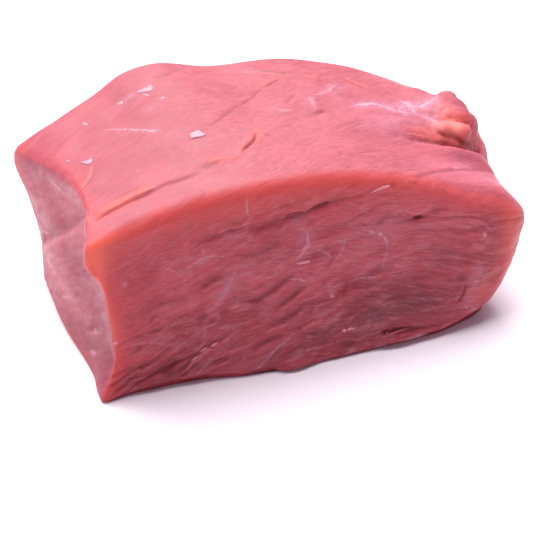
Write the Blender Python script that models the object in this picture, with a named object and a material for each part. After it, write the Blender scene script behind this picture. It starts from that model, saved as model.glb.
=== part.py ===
"""Veal roast: one block of raw meat, cut square at its left end and torn at the upper right.

The block is a rounded box, bent to seven upright sections along its length. Seams, folds and
hollows are then pressed into it, and the torn knob and the loose flaps are fused on.

Metres, +Z up. +X runs along the roast from the square cut to the rounded end, -Y is the long cut
face at the front, and the origin is the middle of the footprint. The sizes below are millimetres.
"""

import math
from typing import NamedTuple

import bmesh
import bpy
import numpy as np
from mathutils import Matrix, Vector

NAME = "veal_roast"
MM = 0.001

# The shape is drawn from the foot of the left front corner, and moved to this middle at the end.
FOOTPRINT_MIDDLE = (93.95, 48.47)


class Section(NamedTuple):
    """An upright section across the roast, at x along it."""

    x: float
    front_foot: float
    front_waist: float
    front_shoulder: float
    front_height: float
    back_height: float
    back_shoulder: float
    back_foot: float


SECTIONS = (
    Section(0.0, -3.5, 0.0, -1.0, 74.5, 69.5, 92.5, 87.5),
    Section(22.0, -4.5, 0.3, 0.5, 80.5, 78.0, 99.0, 92.0),
    Section(50.0, -8.0, 0.5, 2.5, 86.0, 92.0, 106.5, 97.0),
    Section(90.0, -11.5, 0.5, 5.0, 86.5, 87.0, 110.0, 99.0),
    Section(135.0, -11.5, -1.0, 6.0, 77.5, 83.6, 108.0, 96.0),
    Section(168.0, -12.0, -3.0, 4.0, 66.0, 74.8, 99.0, 88.0),
    Section(200.0, -5.5, -4.0, -2.0, 51.0, 56.0, 82.0, 76.0),
)
LENGTH = SECTIONS[-1].x
CROWN = 2.0
BACK_BULGE = 4.0

# Corner radii, read on a plain box of these half sizes.
HALF_BOX = np.array((102.0, 54.0, 43.0))
RIM_FRONT_RADIUS = (5.5, 10.0)
RIM_BACK_RADIUS = 9.0
FOOT_RADIUS = 3.0
CUT_EDGE_RADIUS = 2.6
ROUND_END_RADIUS = 21.0

# The ends of the block: how far each lies in from its square plane.
CUT_HOLLOW = 8.0
CUT_FLARE = 9.5
CUT_LEAN = 8.5
CUT_FOOT = 4.5
END_UNDERCUT = 19.0
END_SLANT = 12.0
END_BROW = 4.5

# The upper muscle rises over the lower one at the back of the rounded end.
MOUND_START = 146.0
MOUND_RISE = 7.5
MOUND_REACH = 7.8
MOUND_FOOT = 34.0
MOUND_BACK = 58.0
MOUND_FADE = 0.8

GRID_PITCH = 4.6
EDGE_STEPS = (2.0, 5.2, 9.0)
ROUND_END_STEPS = (2.5, 6.5, 11.0, 16.0, 21.0)

BOTTOM_FLATNESS = 0.02
MEAT_COLOUR = (0.60, 0.14, 0.16, 1.0)
MEAT_ROUGHNESS = 0.42


class Furrow(NamedTuple):
    """A line pressed into one face, through points given in that face's own two axes."""

    face: str
    points: tuple[tuple[float, float], ...]
    depth: float
    half_width: float
    lip: float = 0.0


FACE_AXES = {"top": (0, 1), "front": (0, 2), "left": (1, 2)}
FACE_NORMALS = {"top": (0.0, 0.0, 1.0), "front": (0.0, -1.0, 0.0), "left": (-1.0, 0.0, 0.0)}

FURROWS = (
    # The seam between the two muscles: down the square cut, over its edge and along the top.
    Furrow("left", ((95.0, 18.0), (64.0, 37.5), (38.0, 54.0), (15.0, 70.0)), 1.8, 4.5, 0.8),
    Furrow("top", ((6.5, 9.5), (18.0, 12.5), (30.0, 13.0), (44.0, 15.0), (58.0, 18.0)), 2.2, 4.2, 0.9),
    # Seams of the plateau behind it.
    Furrow("top", ((57.5, 38.0), (69.0, 47.0), (82.0, 59.0), (96.5, 73.0), (107.5, 81.0)), 1.1, 4.5, 0.3),
    Furrow("top", ((99.0, 90.5), (105.0, 87.0), (110.5, 83.5), (120.0, 88.0)), 1.0, 4.5, 0.3),
    Furrow("top", ((55.0, 17.5), (69.0, 22.0), (74.0, 26.0), (79.0, 33.0), (85.0, 29.0)), 0.9, 4.5, 0.6),
    Furrow("top", ((42.0, 74.0), (52.0, 83.5), (64.0, 90.5), (84.0, 94.0), (97.0, 92.5)), 0.8, 4.5),
    # The dip below the torn knob, and the fold along its front.
    Furrow("top", ((138.0, 8.0), (155.0, 10.5), (171.0, 13.0), (182.0, 16.0)), 1.0, 4.5, 0.8),
    Furrow("top", ((140.0, 34.0), (153.0, 30.5), (163.0, 30.0), (174.0, 31.5), (186.0, 36.0)), 2.0, 4.5),
    # Open cracks in the front face, where bundles of fibre have parted.
    Furrow("front", ((68.0, 65.5), (80.0, 66.8), (97.0, 69.8), (108.0, 70.2)), 2.0, 4.0),
    Furrow("front", ((44.0, 65.5), (50.0, 66.7), (60.0, 68.5)), 1.0, 4.0),
    Furrow("front", ((130.0, 57.0), (139.0, 55.0), (146.0, 56.5)), 1.2, 4.0),
    # The long bundles fan out of the lower left corner.
    Furrow("front", ((4.0, 7.0), (20.0, 10.0), (41.0, 18.0), (62.5, 32.0), (99.0, 50.0)), 0.9, 4.5),
    Furrow("front", ((8.0, 26.0), (30.0, 31.0), (55.0, 37.5), (86.0, 47.5), (112.0, 52.0)), 0.8, 4.5),
    Furrow("front", ((58.0, 12.0), (84.0, 19.0), (98.0, 28.5), (124.0, 38.0)), 0.9, 4.5),
)


class Hollow(NamedTuple):
    """A broad soft dent in one face, or a swelling where its depth is negative."""

    face: str
    centre: tuple[float, float]
    spread: tuple[float, float]
    depth: float


HOLLOWS = (
    Hollow("top", (171.0, 21.0), (15.0, 7.0), 2.6),
    Hollow("top", (150.0, 40.0), (10.0, 4.0), -1.6),
    Hollow("top", (178.0, 58.0), (9.0, 12.0), -3.2),
    Hollow("front", (118.0, 30.0), (26.0, 12.0), 1.4),
    Hollow("front", (150.0, 34.0), (12.0, 10.0), 1.2),
    Hollow("left", (40.0, 30.0), (24.0, 14.0), -2.2),
    Hollow("left", (58.0, 58.0), (16.0, 8.0), 1.4),
)


class Lump(NamedTuple):
    """A torn scrap fused on: a lumpy ellipsoid, turned about Z and tilted down towards +X."""

    name: str
    centre: tuple[float, float, float]
    radii: tuple[float, float, float]
    turn: float
    tilt: float


LUMPS = (
    Lump("knob_nub", (171.0, 37.5, 65.6), (11.0, 8.6, 7.0), -0.10, 0.42),
    Lump("knob_lip", (152.0, 41.0, 68.6), (22.0, 9.5, 5.8), -0.05, 0.34),
    Lump("foot_shred", (85.0, -9.6, 2.9), (12.0, 3.6, 2.4), 0.02, 0.0),
    Lump("foot_flap", (133.0, -9.2, 4.4), (17.0, 3.2, 2.8), 0.02, -0.05),
)
LUMP_SIDES = 20
LUMP_RINGS = 11
LUMP_UNEVENNESS = 0.07


def smooth(t: np.ndarray) -> np.ndarray:
    """Ease from 0 to 1 as t passes from 0 to 1."""
    t = np.clip(t, 0.0, 1.0)
    return t * t * (3.0 - 2.0 * t)


def along_sections(field: str, x: np.ndarray) -> np.ndarray:
    """A smooth curve through one field of the sections, read at x."""
    stations = np.array([section.x for section in SECTIONS])
    values = np.array([getattr(section, field) for section in SECTIONS])
    slopes = np.gradient(values, stations)
    i = np.clip(np.searchsorted(stations, x) - 1, 0, len(stations) - 2)
    span = stations[i + 1] - stations[i]
    t = np.clip((x - stations[i]) / span, 0.0, 1.0)
    start = (1.0 + 2.0 * t) * (1.0 - t) ** 2
    end = t * t * (3.0 - 2.0 * t)
    leave = t * (1.0 - t) ** 2 * span
    arrive = t * t * (t - 1.0) * span
    return start * values[i] + end * values[i + 1] + leave * slopes[i] + arrive * slopes[i + 1]


def corner_radius(unit: np.ndarray) -> np.ndarray:
    """The rounding radius near each point of the unit cube: tight on the cut edges, wide at the far end."""
    along = (unit[:, 0] + 1.0) / 2.0
    to_end = smooth((along - 0.62) / 0.38)
    to_back = smooth(unit[:, 1] + 0.5)
    front = RIM_FRONT_RADIUS[0] + (RIM_FRONT_RADIUS[1] - RIM_FRONT_RADIUS[0]) * smooth(along / 0.4)
    rim = front * (1.0 - to_back) + RIM_BACK_RADIUS * to_back + 8.0 * to_end
    foot = FOOT_RADIUS + 7.0 * to_end
    high = smooth((unit[:, 2] + 0.2) / 0.9)
    low = smooth((0.2 - unit[:, 2]) / 0.9)
    radius = (high * rim + low * foot) / (high + low)
    at_cut = smooth((0.10 - along) / 0.10)
    radius = radius * (1.0 - at_cut) + at_cut * (CUT_EDGE_RADIUS + 3.0 * to_back)
    at_end = smooth((along - 0.80) / 0.20)
    return radius * (1.0 - at_end) + at_end * ROUND_END_RADIUS


def rounded_box(unit: np.ndarray) -> np.ndarray:
    """Points of the unit cube's surface, moved onto the rounded box and scaled back to -1..1."""
    radius = corner_radius(unit)[:, None]
    box = unit * HALF_BOX
    core = np.clip(box, radius - HALF_BOX, HALF_BOX - radius)
    out = box - core
    reach = np.linalg.norm(out, axis=1, keepdims=True)
    return (core + out / np.maximum(reach, 1e-9) * radius * (reach > 0.0)) / HALF_BOX


def roast_form(unit: np.ndarray) -> np.ndarray:
    """The plain form of the roast in millimetres, for points of the unit cube's surface."""
    box = rounded_box(unit)
    along, across, up = ((box[:, i] + 1.0) / 2.0 for i in range(3))
    x = along * LENGTH
    belly = 4.0 * up * (1.0 - up)
    front = (
        along_sections("front_foot", x) * (1.0 - up)
        + along_sections("front_shoulder", x) * up
        + along_sections("front_waist", x) * belly
    )
    back = (
        along_sections("back_foot", x) * (1.0 - up)
        + along_sections("back_shoulder", x) * up
        + BACK_BULGE * belly
    )
    y = front * (1.0 - across) + back * across

    mound = 1.0 - MOUND_FADE * smooth((y - MOUND_BACK) / 45.0)
    # The cut leans away from its foot, most a third of the way along it, and takes the top's edge with it.
    lean = CUT_LEAN * np.clip(np.sin(np.pi * across**0.75), 0.0, 1.0) ** 1.5 * smooth((up - 0.30) / 0.62)
    over = x + lean * (1.0 - along)
    height = along_sections("front_height", over) * (1.0 - across) + along_sections("back_height", over) * across
    height += CROWN * 4.0 * across * (1.0 - across)
    height += MOUND_RISE * mound * smooth((x - MOUND_START) / 50.0) * smooth((y - MOUND_FOOT + 4.0) / 11.0)

    hollow = CUT_HOLLOW * np.sin(np.pi * np.clip(up / 0.95, 0.0, 1.0)) ** 1.2 * (1.0 - up) ** 0.3
    cut = (1.0 - across) * (1.0 - 0.7 * across) * hollow
    cut -= CUT_FOOT * smooth((across - 0.1) / 0.5) * (1.0 - up)
    cut += lean - CUT_FLARE * across * smooth((up - 0.25) / 0.75)
    end = LENGTH - END_UNDERCUT * (1.0 - up) ** 1.6 - END_SLANT * across - END_BROW * up**2 * (1.0 - across)
    end += MOUND_REACH * mound * smooth((y - MOUND_FOOT + 6.0) / 26.0) * smooth((up - 0.36) / 0.5)
    return np.column_stack((cut * (1.0 - along) + end * along, y, height * up))


def distance_to_line(places: np.ndarray, points: tuple[tuple[float, float], ...]) -> tuple[np.ndarray, np.ndarray]:
    """How far each place lies from a line through the points, and on which side (positive is left of it)."""
    nearest = np.full(len(places), np.inf)
    side = np.zeros(len(places))
    for start, end in zip(points, points[1:]):
        start = np.array(start)
        run = np.array(end) - start
        offset = places - start
        t = np.clip(offset @ run / (run @ run), 0.0, 1.0)
        gap = np.linalg.norm(offset - t[:, None] * run, axis=1)
        closer = gap < nearest
        nearest[closer] = gap[closer]
        side[closer] = np.sign(run[0] * offset[closer, 1] - run[1] * offset[closer, 0])
    return nearest, side


def facing(normals: np.ndarray, face: str) -> np.ndarray:
    """How far each normal looks the way of the face, from 0 to 1."""
    return smooth((normals @ np.array(FACE_NORMALS[face]) - 0.35) / 0.45)


def relief(points: np.ndarray, normals: np.ndarray) -> np.ndarray:
    """How far each point is raised along its normal by the seams, folds and hollows."""
    raised = np.zeros(len(points))
    for furrow in FURROWS:
        places = points[:, FACE_AXES[furrow.face]]
        gap, side = distance_to_line(places, furrow.points)
        groove = furrow.depth * (1.0 - smooth(gap / furrow.half_width))
        lip = furrow.lip * np.exp(-(((gap - furrow.half_width) / furrow.half_width) ** 2)) * (side > 0.0)
        raised += facing(normals, furrow.face) * (lip - groove)
    for hollow in HOLLOWS:
        offset = (points[:, FACE_AXES[hollow.face]] - np.array(hollow.centre)) / np.array(hollow.spread)
        raised -= facing(normals, hollow.face) * hollow.depth * np.exp(-np.sum(offset**2, axis=1))
    return raised


def grid_lines(half: float, low_steps: tuple[float, ...], high_steps: tuple[float, ...]) -> np.ndarray:
    """Where the box is sliced along one axis: close together at the rounded edges, even between."""
    low = [-half + step for step in low_steps]
    high = [half - step for step in reversed(high_steps)]
    count = round((high[0] - low[-1]) / GRID_PITCH)
    between = np.linspace(low[-1], high[0], count + 1)[1:-1]
    return np.array([*low, *between, *high]) / half


def sliced_cube() -> bmesh.types.BMesh:
    """A cube from -1 to 1, sliced into a grid."""
    bm = bmesh.new()
    bmesh.ops.create_cube(bm, size=2.0)
    steps = ((EDGE_STEPS, ROUND_END_STEPS), (EDGE_STEPS, EDGE_STEPS), (EDGE_STEPS, EDGE_STEPS))
    for axis, (low_steps, high_steps) in enumerate(steps):
        normal = Vector((0.0, 0.0, 0.0))
        normal[axis] = 1.0
        for line in grid_lines(HALF_BOX[axis], low_steps, high_steps):
            whole = [*bm.verts, *bm.edges, *bm.faces]
            bmesh.ops.bisect_plane(bm, geom=whole, plane_co=normal * line, plane_no=normal)
    return bm


def to_frame(points: np.ndarray) -> np.ndarray:
    """Millimetres from the left front foot to metres from the middle of the footprint."""
    return (points - np.array((*FOOTPRINT_MIDDLE, 0.0))) * MM


def shape_block(bm: bmesh.types.BMesh) -> None:
    """Moves the cube's vertices onto the roast, then presses the relief in along their normals."""
    points = roast_form(np.array([vert.co for vert in bm.verts]))
    for vert, point in zip(bm.verts, points):
        vert.co = point
    bm.normal_update()
    normals = np.array([vert.normal for vert in bm.verts])
    points += normals * relief(points, normals)[:, None]
    for vert, place in zip(bm.verts, to_frame(points)):
        vert.co = place
    bm.normal_update()


def flatten_bottom(bm: bmesh.types.BMesh) -> None:
    """Makes the flat underside one face, since it needs no grid."""
    under = [vert for vert in bm.verts if vert.co.z < BOTTOM_FLATNESS * MM]
    for vert in under:
        vert.co.z = 0.0
    inside = set(under)
    flat = [face for face in bm.faces if all(vert in inside for vert in face.verts)]
    bmesh.ops.dissolve_faces(bm, faces=flat, use_verts=True)
    bmesh.ops.triangulate(bm, faces=bm.faces)


def meat_material() -> bpy.types.Material:
    """Raw veal: pink, moist and not metallic."""
    material = bpy.data.materials.new("raw_veal")
    material.use_nodes = True
    shader = material.node_tree.nodes["Principled BSDF"]
    shader.inputs["Base Color"].default_value = MEAT_COLOUR
    shader.inputs["Roughness"].default_value = MEAT_ROUGHNESS
    shader.inputs["Metallic"].default_value = 0.0
    return material


def new_object(name: str, bm: bmesh.types.BMesh, collection: bpy.types.Collection) -> bpy.types.Object:
    """An object in the collection that takes over the mesh."""
    mesh = bpy.data.meshes.new(name)
    bm.to_mesh(mesh)
    bm.free()
    part = bpy.data.objects.new(name, mesh)
    collection.objects.link(part)
    return part


def add_lump(lump: Lump, collection: bpy.types.Collection) -> None:
    """One torn scrap as a closed ellipsoid, where it is fused to the block."""
    bm = bmesh.new()
    bmesh.ops.create_uvsphere(bm, u_segments=LUMP_SIDES, v_segments=LUMP_RINGS, radius=1.0)
    for vert in bm.verts:
        x, y, z = vert.co
        vert.co *= 1.0 + LUMP_UNEVENNESS * (math.sin(4.0 * x + 1.0) + math.sin(5.0 * y - 3.0 * z))
    scale = Matrix.Diagonal((*lump.radii, 1.0))
    turn = Matrix.Rotation(lump.turn, 4, "Z") @ Matrix.Rotation(lump.tilt, 4, "Y")
    bmesh.ops.transform(bm, matrix=Matrix.Translation(lump.centre) @ turn @ scale, verts=bm.verts)
    for vert in bm.verts:
        vert.co = to_frame(np.array(vert.co))
    bmesh.ops.triangulate(bm, faces=bm.faces)
    new_object(lump.name, bm, collection)


def fuse(block: bpy.types.Object, scraps: bpy.types.Collection) -> None:
    """Joins the scraps to the block in one union, and removes them."""
    union = block.modifiers.new("fuse_scraps", "BOOLEAN")
    union.operation = "UNION"
    union.operand_type = "COLLECTION"
    union.collection = scraps
    union.solver = "EXACT"
    graph = bpy.context.evaluated_depsgraph_get()
    fused = bpy.data.meshes.new_from_object(block.evaluated_get(graph))
    plain = block.data
    block.modifiers.clear()
    block.data = fused
    bpy.data.meshes.remove(plain)
    for scrap in list(scraps.objects):
        bpy.data.objects.remove(scrap, do_unlink=True)
    bpy.data.collections.remove(scraps)


def build_roast() -> bpy.types.Object:
    """The whole roast as one object."""
    parts = bpy.data.collections.new("Veal roast")
    scraps = bpy.data.collections.new("Torn scraps")
    for collection in (parts, scraps):
        bpy.context.scene.collection.children.link(collection)
    bm = sliced_cube()
    shape_block(bm)
    flatten_bottom(bm)
    roast = new_object(NAME, bm, parts)
    for lump in LUMPS:
        add_lump(lump, scraps)
    fuse(roast, scraps)
    roast.data.name = NAME
    roast.data.materials.append(meat_material())
    roast.data.shade_smooth()
    return roast


def clear_scene() -> None:
    """Removes what the scene holds."""
    for thing in list(bpy.data.objects):
        bpy.data.objects.remove(thing, do_unlink=True)


def main() -> None:
    clear_scene()
    build_roast()


if __name__ == "__main__":
    main()
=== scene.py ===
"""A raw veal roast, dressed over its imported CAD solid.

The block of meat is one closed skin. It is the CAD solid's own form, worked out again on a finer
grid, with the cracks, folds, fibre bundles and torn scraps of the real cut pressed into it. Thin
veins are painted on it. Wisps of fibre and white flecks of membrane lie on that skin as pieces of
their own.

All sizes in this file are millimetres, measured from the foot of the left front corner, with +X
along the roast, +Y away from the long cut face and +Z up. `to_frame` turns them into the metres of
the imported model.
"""

import logging
import math
from dataclasses import dataclass, field
from enum import Enum
from typing import Any, Optional, Sequence

import bpy
import numpy as np
from mathutils import Matrix, Vector


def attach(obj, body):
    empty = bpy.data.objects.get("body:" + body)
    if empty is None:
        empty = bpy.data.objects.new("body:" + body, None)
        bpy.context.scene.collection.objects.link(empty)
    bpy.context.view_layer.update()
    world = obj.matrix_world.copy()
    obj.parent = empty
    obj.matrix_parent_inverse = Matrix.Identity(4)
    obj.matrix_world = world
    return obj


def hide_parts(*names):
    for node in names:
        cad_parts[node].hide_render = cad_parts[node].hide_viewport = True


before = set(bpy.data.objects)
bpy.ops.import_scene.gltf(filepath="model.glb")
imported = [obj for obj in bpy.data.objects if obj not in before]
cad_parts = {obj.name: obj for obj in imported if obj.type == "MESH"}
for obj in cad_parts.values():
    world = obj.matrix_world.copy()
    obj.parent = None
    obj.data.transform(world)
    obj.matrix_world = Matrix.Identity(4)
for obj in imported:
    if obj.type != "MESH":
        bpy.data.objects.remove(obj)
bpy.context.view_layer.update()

NODE = "veal_roast"
BODY = "root"
MM = 0.001
FOOTPRINT_MIDDLE = (93.95, 48.47)

log = logging.getLogger("veal_roast")

Array = np.ndarray
Places = tuple[tuple[float, float], ...]


def smooth(t: Array) -> Array:
    """Ease from 0 to 1 as t passes from 0 to 1."""
    t = np.clip(t, 0.0, 1.0)
    return t * t * (3.0 - 2.0 * t)


def rising(value: Array, start: float, span: float) -> Array:
    """Ease from 0 at the start to 1 a span above it."""
    return smooth((value - start) / span)


def falling(value: Array, end: float, span: float) -> Array:
    """Ease from 1 a span below the end to 0 at it."""
    return smooth((end - value) / span)


def to_frame(points: Array) -> Array:
    """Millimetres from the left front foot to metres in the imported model."""
    return (points - np.array((*FOOTPRINT_MIDDLE, 0.0))) * MM


def linear_colour(hex_code: str) -> tuple[float, float, float, float]:
    """An sRGB colour as the linear values that Blender's sockets hold.

    Args:
        hex_code: Six hex digits, with or without a leading #.

    Returns:
        Red, green, blue and an alpha of 1.
    """
    digits = hex_code.lstrip("#")
    parts = [int(digits[i : i + 2], 16) / 255.0 for i in (0, 2, 4)]
    linear = [part / 12.92 if part <= 0.04045 else ((part + 0.055) / 1.055) ** 2.4 for part in parts]
    return (*linear, 1.0)


def gradient_noise(places: Array, seed: int) -> Array:
    """Smooth noise of about -1 to 1 over unit cells.

    Each corner of a cell holds a slope picked by a hash of its whole-number place. The eight
    corners' slopes, run out to the place asked for, are eased together.

    Args:
        places: Points in cells, three columns.
        seed: Picks one pattern out of many.

    Returns:
        One value for each point.
    """
    corner = np.floor(places).astype(np.int64)
    inner = places - corner
    ease = inner**3 * (inner * (inner * 6.0 - 15.0) + 10.0)
    total = np.zeros(len(places))
    for pick in range(8):
        step = np.array([(pick >> axis) & 1 for axis in range(3)])
        key = (corner + step).astype(np.uint32)
        mixed = key[:, 0] * np.uint32(374761393) + key[:, 1] * np.uint32(668265263)
        mixed += key[:, 2] * np.uint32(2246822519) + np.uint32(seed * 3266489917 % 2**32)
        mixed = (mixed ^ (mixed >> np.uint32(13))) * np.uint32(1274126177)
        mixed ^= mixed >> np.uint32(16)
        slopes = np.stack([((mixed >> np.uint32(shift)) & np.uint32(255)) for shift in (0, 8, 16)], axis=1)
        slopes = slopes / 127.5 - 1.0
        weight = np.prod(np.where(step, ease, 1.0 - ease), axis=1)
        total += weight * np.sum(slopes * (inner - step), axis=1)
    return total * 1.35


def cell_noise(places: Array, seed: int) -> tuple[Array, Array]:
    """Distances to the nearest and second nearest of one scattered seed point a cell.

    Args:
        places: Points in cells, two columns.
        seed: Picks one pattern out of many.

    Returns:
        The nearest distance and the second nearest, in cells.
    """
    table = np.random.default_rng(seed).random((64, 64, 2))
    corner = np.floor(places).astype(np.int64)
    nearest = np.full(len(places), 9.0)
    second = np.full(len(places), 9.0)
    for step in np.ndindex(3, 3):
        cell = corner + np.array(step) - 1
        spot = cell + table[cell[:, 0] % 64, cell[:, 1] % 64]
        gap = np.linalg.norm(places - spot, axis=1)
        second = np.minimum(second, np.maximum(nearest, gap))
        nearest = np.minimum(nearest, gap)
    return nearest, second


def curve_through(points: Places, pieces: int = 6) -> Array:
    """A smooth curve through the points: cubics whose slope at a point is that of its neighbours' chord.

    Args:
        points: Two or more places.
        pieces: Straight pieces between one point and the next.

    Returns:
        The places along the curve, one row each.
    """
    knots = np.array(points, dtype=float)
    slopes = np.gradient(knots, axis=0)
    t = np.linspace(0.0, 1.0, pieces, endpoint=False)[:, None]
    start, end = knots[:-1, None], knots[1:, None]
    leave, arrive = slopes[:-1, None], slopes[1:, None]
    bend = (
        (1.0 + 2.0 * t) * (1.0 - t) ** 2 * start
        + t * (1.0 - t) ** 2 * leave
        + t * t * (3.0 - 2.0 * t) * end
        + t * t * (t - 1.0) * arrive
    )
    return np.vstack([bend.reshape(-1, knots.shape[1]), knots[-1:]])


class Face(Enum):
    """A side of the block, by the outward direction and the two axes that its drawings use."""

    TOP = ((0.0, 0.0, 1.0), (0, 1))
    FRONT = ((0.0, -1.0, 0.0), (0, 2))
    LEFT = ((-1.0, 0.0, 0.0), (1, 2))

    def __init__(self, outward: tuple[float, float, float], axes: tuple[int, int]) -> None:
        """Keeps the direction and the axes under plain names."""
        self.outward = outward
        self.axes = axes

    def shown_by(self, normals: Array) -> Array:
        """How far each normal looks the way of this side, from 0 to 1."""
        return rising(normals @ np.array(self.outward), 0.35, 0.45)


@dataclass
class Paint:
    """The attributes that the meat's material reads from the skin."""

    count: int
    line_reach: float = 2.2
    single: dict = field(default_factory=dict)
    triple: dict = field(default_factory=dict)

    def add(self, name: str, amount: Array) -> None:
        """Adds an amount to a single-valued attribute."""
        self.single.setdefault(name, np.zeros(self.count))
        self.single[name] += amount

    def strongest(self, name: str, rows: Array, amount: Array) -> None:
        """Keeps the larger of the attribute and the amount, at the rows."""
        self.single.setdefault(name, np.zeros(self.count))
        self.single[name][rows] = np.maximum(self.single[name][rows], amount)

    def line(self, name: str, rows: Array, gap: Array, width: Array, amount: Array) -> None:
        """Writes a thin line as its signed gap, half width and strength, which stay sharp between points.

        Args:
            name: The attribute.
            rows: The points near the line.
            gap: Their signed gap to it.
            width: The line's half width abreast of each.
            amount: The line's strength there.
        """
        if name not in self.triple:
            self.triple[name] = np.zeros((self.count, 3))
            self.triple[name][:, 0] = self.line_reach
        kept = self.triple[name]
        nearer = np.abs(gap) < np.minimum(np.abs(kept[rows, 0]), self.line_reach)
        chosen = rows[nearer]
        kept[chosen, 0] = gap[nearer]
        kept[chosen, 1] = width[nearer]
        kept[chosen, 2] = (amount * falling(np.abs(gap), 2.1, 0.8))[nearer]

    def write(self, mesh: bpy.types.Mesh) -> None:
        """Puts the attributes on the mesh's points."""
        for name, values in self.single.items():
            layer = mesh.attributes.new(name, "FLOAT", "POINT")
            layer.data.foreach_set("value", np.clip(values, 0.0, 1.0).astype(np.float32))
        for name, values in self.triple.items():
            layer = mesh.attributes.new(name, "FLOAT_VECTOR", "POINT")
            layer.data.foreach_set("vector", values.astype(np.float32).ravel())


@dataclass
class Skin:
    """The block's skin while it is worked: where it lies, how far it is raised and how it is painted."""

    points: Array
    normals: Array
    paint: Optional[Paint] = None
    raised: Array = field(init=False)

    def __post_init__(self) -> None:
        """Starts with nothing raised, and with blank paint where none is handed on."""
        self.raised = np.zeros(len(self.points))
        self.paint = self.paint or Paint(len(self.points))


@dataclass
class Line:
    """A curve drawn on one side of the block."""

    face: Face
    points: Places

    def beside(self, skin: Skin, reach: float) -> tuple[Array, Array, Array, Array]:
        """Reads how the skin lies to the line, which noise in two sizes lets waver.

        Args:
            skin: The skin.
            reach: Points further than this from the line's box are left out.

        Returns:
            The rows of the points that are near, their signed gap to the line (positive on its
            left), how far along it they lie, from 0 to 1, and how far they look the way of its side.
        """
        curve = curve_through(self.points)
        places = skin.points[:, self.face.axes]
        low, high = curve.min(axis=0) - reach, curve.max(axis=0) + reach
        rows = np.flatnonzero(np.all((places > low) & (places < high), axis=1))
        near = places[rows]
        runs = np.diff(curve, axis=0)
        lengths = np.linalg.norm(runs, axis=1)
        passed = np.concatenate([[0.0], np.cumsum(lengths)]) / lengths.sum()
        best = np.full(len(rows), np.inf)
        signed = np.full(len(rows), np.inf)
        along = np.zeros(len(rows))
        for i, (start, run) in enumerate(zip(curve[:-1], runs)):
            offset = near - start
            t = np.clip(offset @ run / (run @ run), 0.0, 1.0)
            gap = np.linalg.norm(offset - t[:, None] * run, axis=1)
            side = np.where(run[0] * offset[:, 1] - run[1] * offset[:, 0] < 0.0, -1.0, 1.0)
            closer = gap < best
            best[closer] = gap[closer]
            signed[closer] = (gap * side)[closer]
            along[closer] = (passed[i] + t * (passed[i + 1] - passed[i]))[closer]
        near = skin.points[rows]
        signed += 0.42 * gradient_noise(near / 3.4, 51) + 0.22 * gradient_noise(near / 1.5, 52)
        return rows, signed, along, self.face.shown_by(skin.normals[rows])


def tapered(along: Array, share: float = 0.18) -> Array:
    """1 in the middle of a line, easing to 0 over the given share at both ends."""
    return smooth(along / share) * smooth((1.0 - along) / share)


@dataclass
class Section:
    """An upright section across the roast, at x along it."""

    x: float
    front_foot: float
    front_waist: float
    front_shoulder: float
    front_height: float
    back_height: float
    back_shoulder: float
    back_foot: float


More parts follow.
